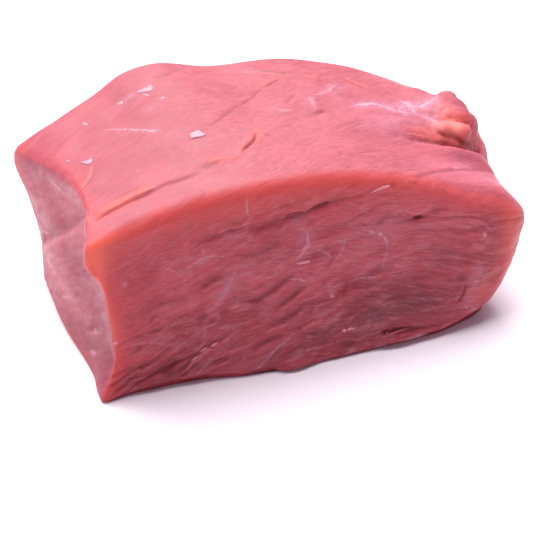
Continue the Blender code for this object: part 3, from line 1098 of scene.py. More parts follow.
@dataclass
class PaintedRimGlow:
    """The edges of the block, where thin moist meat lets the light through and glows coral; this glow is painted
    into the colour.
    """

    half_box: tuple[float, float, float] = (102.0, 54.0, 43.0)
    # Each edge: the two sides that meet there, the painted glow's width on each, and its strength.
    edges: tuple[tuple[str, str, float, float, float], ...] = (
        ("top", "front", 12.0, 4.0, 0.85),
        ("left", "front", 8.0, 2.4, 0.66),
        ("left", "top", 5.0, 1.2, 0.32),
        ("left", "back", 6.0, 6.0, 0.50),
        ("right", "front", 14.0, 10.0, 0.60),
        ("right", "top", 9.0, 6.0, 0.30),
        ("top", "back", 5.0, 4.0, 0.20),
        ("front", "foot", 2.5, 2.5, 0.30),
        ("left", "foot", 3.0, 5.0, 0.45),
    )

    def paint(self, skin: Skin, unit: Array) -> None:
        """Paints each edge's glow on the plain box, as painted light, its width wavering along it.

        The painted glow is a bell of the distance from the edge, with a width of its own on either side,
        and fades towards the round end, where the meat is thicker.

        Args:
            skin: Its paint gets the attribute `rim`.
            unit: The same points on the unit cube's surface.
        """
        a, b, c = (unit * np.array(self.half_box)).T
        half_x, half_y, half_z = self.half_box
        sides = {
            "left": a + half_x, "right": half_x - a, "front": b + half_y,
            "back": half_y - b, "top": half_z - c, "foot": c + half_z,
        }
        waver = 1.0 + 0.35 * gradient_noise(skin.points / 14.0, 31) + 0.2 * gradient_noise(skin.points / 5.0, 32)
        rim = np.zeros(len(unit))
        for first, second, first_width, second_width, amount in self.edges:
            distance = np.hypot(sides[first] / first_width, sides[second] / second_width)
            rim = np.maximum(rim, amount * np.exp(-((distance / waver) ** 2)))
        # The painted rim glow, weaker towards the round end.
        skin.paint.add("rim", rim * (1.0 - 0.45 * rising(skin.points[:, 0], 120.0, 55.0)))


@dataclass
class ScatteredCreases:
    """Short shallow creases that follow the bundles, more of them where the cut is rough."""

    face: Face
    low: tuple[float, float]
    high: tuple[float, float]
    count: int
    length: tuple[float, float]
    slopes: Places
    strength: float
    seed: int

    def lines(self) -> list[Crease]:
        """The creases, each a short arc along the grain at a random place."""
        rng = np.random.default_rng(self.seed)
        centres = rng.uniform(self.low, self.high, (self.count, 2))
        lengths = rng.uniform(*self.length, self.count)
        knots = np.array(self.slopes)
        slope = np.interp(centres[:, 0], knots[:, 0], knots[:, 1]) + rng.normal(0.0, 0.10, self.count)
        bow = rng.normal(0.0, 0.10, self.count)
        creases = []
        for centre, length, tilt, bend in zip(centres, lengths, slope, bow):
            t = np.array([-0.5, -0.17, 0.17, 0.5])
            across = tilt * t * length + bend * length * (t**2 - 0.12)
            places = tuple((centre[0] + s * length, centre[1] + v) for s, v in zip(t, across))
            force = self.strength * rng.uniform(0.4, 1.0)
            creases.append(Crease(self.face, places, 0.45 * force, rng.uniform(0.6, 1.0), force, 0.6 * force))
        return creases


def marks(kind: tuple, *rows: tuple) -> list:
    """Marks of one kind, which is a class and its first values. Each row holds the other values."""
    make, *lead = kind
    return [make(*lead, *row) for row in rows]


def spots(kind: tuple, *rows: tuple[float, ...]) -> list:
    """Marks about a centre. Each row holds its two places, its two spreads and the other values."""
    return marks(kind, *(((a, b), (c, d), *rest) for a, b, c, d, *rest in rows))


TOP, FRONT, LEFT = Face.TOP, Face.FRONT, Face.LEFT

FURROWS = (
    *marks(
        (Furrow, LEFT),
        (((76, 30.5), (65.5, 37.5), (56, 45), (48, 52.5), (39, 60), (19.7, 72.5)), 1.1, 5, 0.8),
    ),
    *marks(
        (Furrow, TOP),
        (((7, 10.9), (18.6, 13.4), (30.8, 14.4), (45, 15.4), (55, 18.6)), 0.35, 3, 0.3),
        (((63, 44), (72.7, 51.8), (83.4, 61.6), (97, 75.2), (108, 83.4)), 0.2, 3.4, 0.1),
        (((99.1, 90.9), (105.2, 87.5), (110.7, 84.1), (120.2, 88.4)), 0.3, 3.6, 0.2),
        (((42.3, 74.8), (52.2, 84.1), (64.1, 90.8), (84.1, 94.2), (97.1, 92.8)), 0.4, 4.5),
        (((116.7, 63.6), (122, 65.8), (126.7, 68.4), (131.8, 74.1)), -0.4, 2.8),
        (((140.2, 4), (148.1, 8.2), (154.7, 11), (164.1, 14.2), (184, 22.2)), 0.2, 2.4, 0.2),
        (((149, 33.6), (156, 31.6), (163.9, 31.4), (174.8, 32), (186.5, 36.5)), 0.7, 3),
    ),
    *marks(
        (Furrow, FRONT),
        (((67, 67.5), (78.9, 69), (95.8, 72.2), (106.8, 72.7)), 1, 4),
        (((43.2, 67.1), (49.1, 68.5), (59, 70.5)), 0.6, 4),
        (((128.9, 59.2), (137.9, 57.3), (144.7, 59.2)), 0.8, 4),
        (((4, 7.1), (19.9, 10.1), (40.8, 18.4), (62, 32.9), (98.1, 51.8)), 0.6, 4.5),
        (((7.9, 26.3), (29.7, 31.6), (54.5, 38.5), (85.2, 49.1), (111.1, 53.9)), 0.5, 4.5),
        (((57.8, 12.3), (83.7, 19.6), (97.5, 29.5), (123.3, 39.4)), 0.6, 4.5),
        (((24, 0.6), (35, 1.2), (46, 0.6)), 1, 2.6),
        (((63, 0.6), (71, 1.4), (79, 0.6)), 1.1, 2.8),
        (((140, 0.8), (153, 2), (166, 0.8)), 1, 4.2),
    ),
)

HOLLOWS = (
    *spots(
        (Hollow, TOP),
        (172, 29, 13.5, 7.5, -3.8), (184, 28, 6, 6, -0.8), (171, 21, 14, 4, 0.7), (150.8, 42.1, 10, 4, -1.6),
        (178.4, 59.2, 9, 12, -2), (114.7, 49.5, 6, 2.6, 0.15), (95.5, 55, 2.2, 2, -0.7), (101, 52.6, 3, 2, -0.7),
        (114.1, 58.6, 3.4, 7, -0.5), (170, 70, 6, 8, -1.6), (178, 4, 8, 8, -1.6),
    ),
    *spots(
        (Hollow, FRONT),
        (117.5, 31.1, 26, 12, 1.4), (149.2, 35.7, 12, 10, 1.2), (54.1, 30.8, 3.6, 1.8, 0.8), (40, 30, 14, 5, 0.6),
        (24, 20, 12, 4, -0.7), (91.8, 12.9, 10, 4, 0.9),
    ),
    *spots(
        (Hollow, LEFT),
        (40, 30, 24, 14, -2.2), (58, 58, 16, 8, 1.4), (88, 62, 10, 10, -1.6), (-1, 3, 8, 10, -1.6),
        (0, 65, 7, 7, -2.4), (-2, 14, 9, 9, 3.2), (0, 54, 7, 6, 1.8),
    ),
)

WRINKLES = (
    *spots(
        (Wrinkles, LEFT),
        (52, 62, 50, 16, 0.2, 7, 91),
    ),
    *spots(
        (Wrinkles, TOP),
        (174, 45, 14, 15, 0.75, 4.6, 81), (171.5, 37.6, 9, 5.5, 0.42, 3.4, 93), (153, 50, 16, 10, 0.35, 5, 83),
        (125, 62, 26, 20, 0.22, 5.5, 85),
    ),
    *spots(
        (Wrinkles, FRONT),
        (171.5, 70, 9, 4.5, 0.36, 3.4, 95), (88, 3, 18, 5, 0.6, 4, 87), (135, 4, 20, 4.5, 0.5, 4, 89),
    ),
)

SCRAPS = (
    Scrap((177.4, 56.0, 66.6), (13.2, 11.0, 9.3), 0.0, 0.40, 0.12),
    Scrap((180.8, 60.8, 72.4), (4.7, 4.8, 4.3), 0.0, 0.35, 0.12, 0.30),
    Scrap((171.5, 42.2, 65.6), (12.6, 8.2, 6.8), -0.10, 0.42),
    Scrap((152.0, 41.0, 68.6), (22.0, 9.5, 5.8), -0.05, 0.34, blend=0.35),
    Scrap((179.4, 47.2, 68.2), (11.0, 7.6, 6.2), -0.1, 0.45, 0.12, 0.3),
    Scrap((171.6, 38.8, 70.8), (8.6, 5.0, 2.9), -0.10, 0.30, 0.24, 0.10),
    Scrap((167.4, 38.0, 71.6), (4.6, 4.6, 3.1), 0.1, 0.20, 0.24, 0.12),
    Scrap((175.8, 36.6, 69.6), (5.4, 5.2, 3.9), -0.1, 0.35, 0.24, 0.12),
    Scrap((82.0, -9.8, 2.8), (11.0, 3.6, 2.6), 0.02, 0.0, 0.34),
    Scrap((86.4, -12.6, 1.3), (1.9, 1.8, 1.2), 0.0, 0.0, 0.30, 0.16),
    Scrap((91.0, -13.2, 1.2), (1.5, 1.6, 1.1), 0.0, 0.0, 0.30, 0.16),
    Scrap((133.0, -9.6, 4.6), (18.0, 3.9, 3.2), 0.02, -0.05, 0.22),
)

SLITS = (
    *marks(
        (Slit, FRONT),
        # Cracks in the upper front, where the outer muscle laps over the bundles below it.
        (((49.7, 66.9), (53.1, 67.5), (56.1, 68.5), (59.1, 68.1), (63, 69), (66, 69)), 0.5, 0.8, 0.5, 6, 0.6, 0.34),
        (((79.3, 67.9), (80.9, 69.2), (82.9, 69.7), (85.9, 69.3), (89.9, 69.2)), 0.7, 0.9, 0.8, 7, 0.8, 0.46),
        (((87.9, 69.2), (89.9, 69.2), (92.8, 70.2), (94.8, 70.7), (97.8, 71), (101.4, 70.9)), 0.9, 0.9, 0.8, 7, 0.9,
         0.55),
        (((99.8, 70.9), (105.8, 71), (108.8, 71), (111.8, 71.4), (116.7, 72.1)), 0.4, 0.8, 0.4, 6, 0.3, 0.34),
        (((130.9, 61.9), (132.9, 59.4), (135.9, 57.6), (137.9, 57.3), (139.8, 57.3), (141.8, 58.1), (144.7, 59.7)),
         0.6, 1, 0.5, 5, 0.3, 0.34),
        (((136, 57.4), (138, 56.9), (140.4, 57.3)), 0.9, 0.8, 0.3, 3, 1, 0.8),
        (((117.4, 7.3), (121.9, 7.5), (124.9, 7.3), (129.9, 7.3), (136.9, 6.9), (142.9, 6.7)), 1.2, 1.2, 0.3, 5,
         0.75, 0.7),
        (((158.8, 24.4), (158.1, 21.2), (156.7, 18), (154.6, 15.1)), 0.8, 1, 0.7, 5, 0.55, 0.45),
    ),
    *marks(
        (Slit, TOP),
        # Folds and lapped edges on the plateau.
        (((6.4, 10.6), (10.4, 11.6), (13.8, 12.3), (17.1, 12.9), (22.3, 13.8), (28.2, 14.1), (34, 14.8)), 0.35, 0.9,
         0.9, 6, 0.32, 0.26, 1),
        (((22.3, 13.6), (32.8, 14.6), (38, 15.2), (44.1, 15), (51.8, 15.9), (55.2, 18.6)), 0.25, 0.6, 0.3, 5, 0.34,
         0.26, 0.2),
        (((55.2, 19.2), (57.5, 21.8), (60.3, 22.6), (62.8, 22.2), (67, 22.6), (70.6, 24.2)), 0.3, 0.6, -0.7, 4,
         0.22, 0.26, 0.6),
        (((69.8, 23.6), (72.6, 25.9), (75.2, 28.2), (78.2, 31.4), (79.8, 34.4), (81, 36.6)), 0.5, 0.7, 0.8, 5, 0.55,
         0.32, 0.5),
        (((80.4, 36.8), (82.4, 36.6), (84.8, 34.6)), 0.3, 0.6, 0.7, 3, 0.25, 0.3, 0.6),
        (((5, 31.9), (8.4, 34.1), (11.4, 37.1), (13.9, 41.1), (15.2, 45.5)), 0.4, 0.7, 0.4, 6, 0.45, 0.3, 0.3),
        (((63, 44), (72.7, 51.8), (79.6, 58.6), (83.4, 61.6)), 0.2, 0.5, 0.25, 5, 0.3, 0.26),
        (((82.6, 61), (88.5, 65.9), (93.3, 71.1), (97.8, 76)), 0.3, 0.6, 0.35, 5, 0.4, 0.28),
        (((98.6, 76.2), (102.4, 78.6), (105.5, 80.5), (109, 82.6)), 0.6, 0.7, 0.5, 4, 0.65, 0.42, 0.4),
        (((118, 87.4), (119.6, 83.2), (122.9, 78.9), (126.9, 80.6), (131.7, 86.2)), 0.3, 0.6, 0.3, 4, 0.2, 0.28,
         0.2),
        (((110, 51.4), (112.2, 49.8), (115.1, 50.7), (118.7, 53)), 0.3, 0.8, 0.3, 4, 0.2, 0.4, 0.1),
        (((138.4, 81), (140.5, 78.2), (142.9, 75.7), (144.9, 73.5), (147.6, 70.5)), 0.5, 0.8, 0.5, 4, 0.45, 0.36,
         0.2),
        # The torn knob: the fold in its tongue, the gap below it and the pit behind it.
        (((148.6, 36.8), (152.4, 35.9), (156.2, 35.2), (160, 34.6)), 0.4, 0.8, 0.4, 4, 0.25, 0.36, 0.3),
        (((150, 33.2), (154, 32.4), (158.6, 31.4), (163.8, 30.6), (168, 30.4)), 0.3, 0.9, 0.3, 4, 0.3, 0.3, 0.4),
        (((161, 31.6), (165, 30.6), (169, 29.6), (173, 29.4), (177, 29.8), (182, 32.6), (187.5, 36.6)), 1.4, 1.2,
         0.4, 4, 0.95, 1, 0.2),
        (((177.6, 40.6), (180.6, 41), (183.6, 42)), 0.9, 0.9, 0.4, 4, 0.6, 0.5, 0.6),
    ),
)

CREASES = (
    *marks(
        (Crease, FRONT),
        # Left half of the front: bundles that climb to the right out of the lower corner.
        (((9.8, 36.6), (19.7, 39.1), (25.7, 41.4), (33.6, 42.2), (42.5, 44.6)), 0.48, 1.1, 0.38, 0.25),
        (((41.5, 44), (45.5, 45.9), (48.4, 47.5), (50.9, 48.4), (54.4, 48.3)), 0.72, 0.9, 0.81, 0.35),
        (((21.8, 34.1), (23.7, 35.3), (26.1, 36.2)), 0.48, 0.7, 0.64, 0.54),
        (((12.3, 29.8), (14.8, 28.6), (19.8, 27.3)), 0.48, 0.8, 0.53, 0.36),
        (((20.3, 30.2), (22.8, 29), (25.8, 29.2), (30.2, 29.7)), 0.6, 0.8, 0.64, 0.48),
        (((28.7, 31.7), (31.7, 32.2), (35.7, 33.3), (41.1, 32.3)), 0.6, 0.9, 0.53, 1),
        (((11.9, 20.2), (15.9, 22.7), (19.2, 24.9)), 0.55, 1.1, 0.55, 0.3),
        (((4, 7.5), (8.9, 9.7), (13.9, 12.2), (19.9, 14.1), (26.9, 17.7)), 0.84, 1, 0.47, 1),
        (((5, 7.5), (10, 8.3), (14.9, 9), (20.9, 8.7)), 0.48, 0.9, 0.38, 0.6),
        (((29.4, 11.1), (30.9, 12), (33.4, 13)), 0.6, 0.9, 0.85, 0.3),
        (((27, 4.7), (30.9, 6.7), (34.9, 9.8), (39.8, 14.1), (43.8, 16.8), (48.8, 18.9), (56.7, 23.2)), 0.96, 1,
         0.59, 1),
        (((31, 3.8), (34.9, 6.4), (37.9, 9), (41.4, 11)), 0.84, 1, 0.9, 0.54),
        (((37.8, 15.7), (40.8, 18.4), (43.8, 21.5)), 0.6, 1.2, 0.56, 0.42),
        (((41.2, 28.2), (43.6, 30.7), (46.6, 32.8)), 0.72, 1.1, 0.64, 0.24),
        (((45.7, 26.9), (48.1, 28.1), (50.6, 28.8)), 0.6, 0.9, 0.74, 0.48),
        (((50.1, 30), (52.6, 31.4), (56.1, 32.1)), 0.8, 1.3, 0.66, 0.36),
        (((48.1, 31.4), (51.6, 33.3), (54.5, 34.8), (58, 35.8), (61.5, 35.2), (66.5, 34.8), (70.5, 36.3),
         (74.4, 38.7), (78.4, 40.7), (81.3, 42.1), (87.3, 45.5)), 0.72, 1.1, 0.68, 0.3),
        (((47.8, 15), (53.8, 14.8), (59.8, 16), (65.7, 17.9)), 0.6, 1.1, 0.53, 0.24),
        (((60.9, 10.9), (65.8, 13.5), (71.8, 15.8), (78.7, 16.5)), 0.72, 1, 0.64, 0.36),
        (((54.3, 54.5), (57.3, 55.3), (60.2, 56), (64.2, 56.2), (69.2, 56.1), (73.1, 57.3), (78.1, 59.3),
         (83.1, 60.1)), 0.48, 1.1, 0.51, 0.25),
        (((45.2, 65), (49.1, 66.7), (53.1, 68.2)), 0.32, 1.2, 0.38, 0.15),
        # Middle of the front.
        (((71.1, 27.3), (74.6, 29.3), (77.5, 31.1), (81, 32.8), (84.4, 35.4), (87.4, 36.8), (90.9, 38.5)), 0.72,
         1.1, 0.72, 0.35),
        (((64.7, 20.9), (69.7, 22.2), (74.7, 23.2), (78.6, 23.7), (81.6, 25.3), (85.6, 27.4), (91.5, 28.5),
         (98.5, 28.8)), 0.72, 1.1, 0.68, 0.3),
        (((79.7, 17.3), (84.7, 18.8), (89.7, 20.3), (96.7, 20.9)), 0.64, 0.9, 0.26, 0.8),
        (((83.8, 14.9), (87.8, 14.5), (91.8, 13.9), (96.8, 14.1), (103.3, 14.7)), 0.4, 0.9, 0.55, 0.25),
        (((69.9, 4.7), (71.3, 7.2), (74.1, 9.9), (77.8, 12)), 0.56, 0.9, 0.59, 0.2),
        (((85.9, 8.9), (91.9, 9), (97.9, 8.5)), 0.4, 0.8, 0.51, 0.5),
        (((100.4, 4.6), (103.9, 5.8), (109.4, 4.8)), 0.64, 1.1, 0.81, 0.3),
        (((103, 26.9), (105, 31.1), (106.4, 34.2), (108.4, 36.9), (110.3, 38.3)), 0.56, 1.5, 0.51, 0.25),
        (((109.6, 23.8), (114.6, 25.3), (118.6, 25.7), (122.6, 24.7)), 0.4, 0.9, 0.42, 0.2),
        (((95.8, 40.9), (97.9, 44.1), (100, 48), (102.2, 49.7), (103.7, 51.2)), 0.48, 0.9, 0.51, 0.35),
        (((88.5, 63.3), (90.9, 64.4), (92.9, 64.6)), 0.32, 0.8, 0.42, 0.25),
        (((62.2, 54.3), (66.2, 55), (70.2, 54.6)), 0.4, 1.6, 0.38, 0.15),
        (((119, 57.3), (123, 59), (125.9, 59.7), (128.9, 59.2)), 0.48, 0.9, 0.59, 0.4),
        (((105.2, 75.9), (108.7, 75.9), (114.7, 76.5)), 0.32, 0.7, 0.47, 0.4),
        (((105, 80), (105.7, 78.1), (105.3, 76.7)), 0.24, 0.6, 0.26, 0.6),
        (((126.1, 73.1), (127.5, 72.2), (129.1, 71.2)), 0.4, 0.7, 0.72, 0.25),
        # Right part of the front.
        (((138.7, 41.7), (144.1, 40.5), (150.1, 39.3), (158.9, 38.2)), 0.4, 0.9, 0.51, 0.3),
        (((141.8, 58.1), (146.7, 58.7), (153, 59.7)), 0.32, 0.8, 0.38, 0.25),
        (((132, 30.3), (134, 30.1), (136.4, 29.3)), 0.32, 0.7, 0.51, 0.6),
        (((153.8, 28.3), (156.3, 27.1), (159.3, 25.4)), 0.48, 1, 0.59, 0.25),
        (((125.6, 23.3), (130.6, 22.8), (136.6, 23.5)), 0.32, 1, 0.42, 0.2),
        (((166.9, 51), (169.1, 50.5), (171.1, 50.8)), 0.24, 0.7, 0.42, 0.2),
    ),
    *marks(
        (Crease, TOP),
        # Plateau.
        (((96, 94), (100.2, 92.4), (105.5, 89.8), (112.2, 86.6), (119, 87.2)), 0.8, 0.7, 0.5, 0.6),
        (((111.2, 84.6), (112.2, 86.1), (113.2, 87.5)), 0.4, 0.64, 0.27, 0.1),
        (((125.3, 78.8), (127.7, 82.6), (131.2, 86.1)), 0.5, 0.64, 0.27, 0.15),
        (((133.3, 76.8), (136.3, 80.7), (140.9, 80.7)), 0.4, 0.64, 0.21, 0.1),
        (((102.1, 58.3), (104.9, 61.8), (107.9, 64.3), (112.3, 64.2)), 0.6, 0.9, 0.32, 0.4),
        (((114.5, 34.1), (119.7, 37.8), (124.4, 40.1), (129.9, 42.1), (134, 43)), 0.4, 0.5, 0.34, 0.35),
        (((123.3, 36.9), (129.3, 39.8), (133.7, 41)), 0.3, 0.5, 0.28, 0.2),
        (((90.8, 38.3), (95.4, 40.2), (100.6, 42.1)), 0.4, 0.5, 0.34, 0.2),
        (((109.3, 47.1), (113.7, 49.2), (118.7, 52.2)), 0.5, 1.28, 0.3, 0.25),
        (((50.8, 36.3), (54.8, 37.2), (58.3, 37.2), (60.9, 36)), 0.3, 0.48, 0.27, 0.25),
        (((86.9, 37), (92.9, 38.9), (100.9, 40.8)), 0.3, 0.8, 0.15, 0.2),
        (((73.1, 95.2), (80.1, 95.4), (88.1, 95)), 0.4, 0.96, 0.24, 0.1),
        (((46.2, 80.7), (50.2, 82.6), (54.9, 87.2), (61.4, 91), (68.1, 95.5)), 0.4, 0.72, 0.15, 0.3),
        (((14.2, 74.9), (16.2, 76.3), (18.8, 76.9)), 0.3, 0.48, 0.21, 0.2),
        (((12.8, 57.8), (17.3, 60.8), (23.3, 62.4)), 0.3, 0.56, 0.13, 0.1),
        (((36.7, 78), (40.3, 77.1), (43.9, 78.1)), 0.4, 0.56, 0.27, 0.1),
        (((120.1, 18.1), (127.1, 20), (134, 21.8)), 0.3, 1.12, 0.15, 0.1),
        (((184, 22.6), (174, 17.7), (164.1, 14.7), (154.7, 11.5), (148.1, 8.8), (144, 6.4), (140.2, 4.4)), 0.4,
         0.64, 0.16, 0.55),
        (((147.9, 29.1), (150.3, 31.1), (149.9, 33)), 0.4, 0.72, 0.24, 0.2),
        (((112.1, 20.1), (110.2, 17.8), (107.8, 15.7)), 0.2, 0.56, 0.18, 0.2),
    ),
    *marks(
        (Crease, LEFT),
        # Square cut: first the seam, under which the lower muscle stands proud.
        (((20.5, 71.6), (39, 59.4), (48, 52), (56, 44.6), (65.5, 37), (77, 28.8), (88, 21)), 0.5, 2.4, 0.3, 0.25),
        (((6.5, 27.3), (16, 21), (26.5, 14.4)), 0.5, 0.9, 0.6, 0.8),
        (((28.4, 30.4), (31, 29.4), (34.5, 26.8)), 0.5, 0.9, 0.75, 0.5),
        (((27, 36), (33, 33), (42, 27)), 0.3, 1, 0.35, 0.35),
        (((7, 16.4), (16, 11.5), (25, 4.8)), 0.5, 1, 0.62, 0.45),
        (((12, 45), (24, 42), (38, 36)), 0.3, 1.4, 0.3, 0.2),
    ),
)

SCATTER = (
    ScatteredCreases(FRONT, (8.0, 3.0), (70.0, 46.0), 46, (4.0, 12.0), Grain.bundle_slopes, 0.34, 41),
    ScatteredCreases(FRONT, (60.0, 4.0), (176.0, 58.0), 74, (4.0, 13.0), Grain.bundle_slopes, 0.31, 42),
    ScatteredCreases(FRONT, (20.0, 46.0), (150.0, 72.0), 26, (3.0, 9.0), Grain.bundle_slopes, 0.24, 43),
    ScatteredCreases(TOP, (12.0, 8.0), (180.0, 96.0), 110, (3.0, 8.0), ((0.0, 0.30), (200.0, 0.36)), 0.14, 44),
)

VEINS = (
    *marks(
        (Vein, LEFT),
        (((52, 14.4), (44, 19.5), (37.5, 24)), 0.5, 0.3, 0.2),
    ),
    *marks(
        (Vein, FRONT),
        (((87, 62.5), (88.6, 60.6), (89.1, 57.3), (89.5, 55.2), (87.5, 53.4), (86.4, 51.5), (84.2, 50), (81.8, 49)),
         0.6, 0.4, 0.3),
        (((92.8, 51.5), (96.2, 49.9), (98.6, 48)), 0.35, 0.38, 0.15),
        (((105.3, 53.2), (104.4, 50.3), (102.2, 47.4)), 0.4, 0.42, 0.15),
        (((113.6, 56.5), (118.1, 54.2), (120.5, 53.1), (122.7, 51.2), (123.7, 48.3), (123.7, 45.2)), 0.56, 0.45,
         0.24),
        (((123.7, 45.6), (123.3, 41.5), (122.2, 36.3)), 0.45, 0.21, 0.18),
        (((108.9, 33.6), (113.4, 34), (117.4, 33.2), (121.4, 33.6)), 0.3, 0.38, 0.12),
        (((160, 53), (164.5, 51.3), (167.1, 49.6), (170, 46.4)), 0.28, 0.42, 0.09),
        (((64.4, 72.7), (63.9, 77.2), (64.4, 81.1)), 0.4, 0.34, 0.12),
        (((48.6, 35.3), (51.5, 38.4), (53.7, 41.5), (54.8, 44.2), (57, 47.7), (59.3, 51)), 0.8, 0.13, 0.39),
        (((62, 0.8), (65.9, 4.3), (68.9, 7.4), (71.5, 10.1), (74.8, 12.6), (78.8, 14.7), (82.3, 17.4)), 0.55, 0.26,
         0.33),
        (((77.9, 5.1), (81.9, 6.2), (86.9, 7.4), (92.9, 8.1)), 0.4, 0.34, 0.12),
        (((81, 41.2), (83.8, 40.9), (85.9, 39.8), (88, 38.7)), 0.35, 0.42, 0.12),
        (((97.4, 35.2), (98.5, 31.9), (99.1, 28.6)), 0.5, 0.21, 0.3),
        (((42.8, 20.1), (44.3, 23.6), (44.7, 26.6)), 0.35, 0.18, 0.18),
        (((9.9, 24.5), (14.8, 25), (19.8, 24.8), (24.8, 23.5), (28.8, 21.8), (30.6, 19.5)), 0.35, 0.16, 0.12),
        (((31.2, 17.3), (32, 19.8), (36.4, 21.6)), 0.4, 0.18, 0.15),
        (((38, 4.5), (41.9, 7.2), (46.3, 11.1)), 0.35, 0.38, 0.09),
        (((36.5, 52.9), (38.4, 55.2), (43.3, 57.5), (47.3, 58.7), (51.2, 58.3), (54.2, 56.9), (57.2, 56.1)), 0.4,
         0.27, 0.12),
        (((29.5, 57.6), (31.5, 56), (33.9, 54.5)), 0.3, 0.26, 0.09),
        (((45.2, 63.1), (45.8, 60.5), (44.3, 58.4)), 0.3, 0.24, 0.09),
        (((158.6, 14.2), (159.7, 11.9), (162.7, 9.8), (166.3, 8.3)), 0.7, 0.38, 0.18),
        (((164.4, 33.4), (165.6, 29.2), (164.3, 24.5), (161.4, 20.2)), 0.6, 0.13, 0.36),
        (((145.1, 68.3), (147.8, 70), (150.3, 69.9)), 0.45, 0.42, 0.12),
        (((6.9, 24.3), (7, 27.7), (8.4, 28.3)), 0.5, 0.42, 0.12),
    ),
    *marks(
        (Vein, TOP),
        (((24.6, 67.9), (28.3, 65), (30.5, 62.5), (33.4, 59.6), (36.5, 56.2), (39.9, 52.6), (43.6, 49.2)), 0.38,
         0.6, 0.15),
        (((28.7, 64.7), (30.5, 62.5), (32.8, 60.3)), 0.7, 0.45, 0.2),
        (((39.5, 53), (41.2, 50.9), (43.8, 49)), 0.8, 0.55, 0.2),
        (((93.1, 93.5), (99.1, 92.5), (104.1, 90)), 0.5, 0.25, 0.15),
        (((114.8, 64.5), (114.8, 59.9), (113.9, 53)), 1.1, 0.22, 0.35),
        (((131, 54.8), (136.9, 56.5), (142.1, 57.7), (145.8, 56.5), (149.6, 54.4), (152.9, 52.3), (157.1, 51),
         (160.6, 52.2)), 0.7, 0.6, 0.6),
        (((160.5, 51), (160.2, 54.9), (160.2, 57.6), (157, 61.4)), 0.8, 0.6, 0.6),
        (((152, 52.6), (156, 56), (161.3, 55.6), (165.9, 55.1), (169.5, 55.7), (172.2, 56.7), (176, 60.4)), 0.6,
         0.6, 0.55),
        (((160.4, 49), (163.7, 46), (165.2, 42.6), (167.2, 41.8)), 0.6, 0.55, 0.45),
        (((116.7, 63.6), (122, 65.8), (126.7, 68.4), (131.8, 74.1)), 0.6, 0.35, 0.4),
        (((175.4, 61.2), (180.3, 66.9), (183.6, 74.6)), 0.6, 0.3, 0.35),
    ),
)

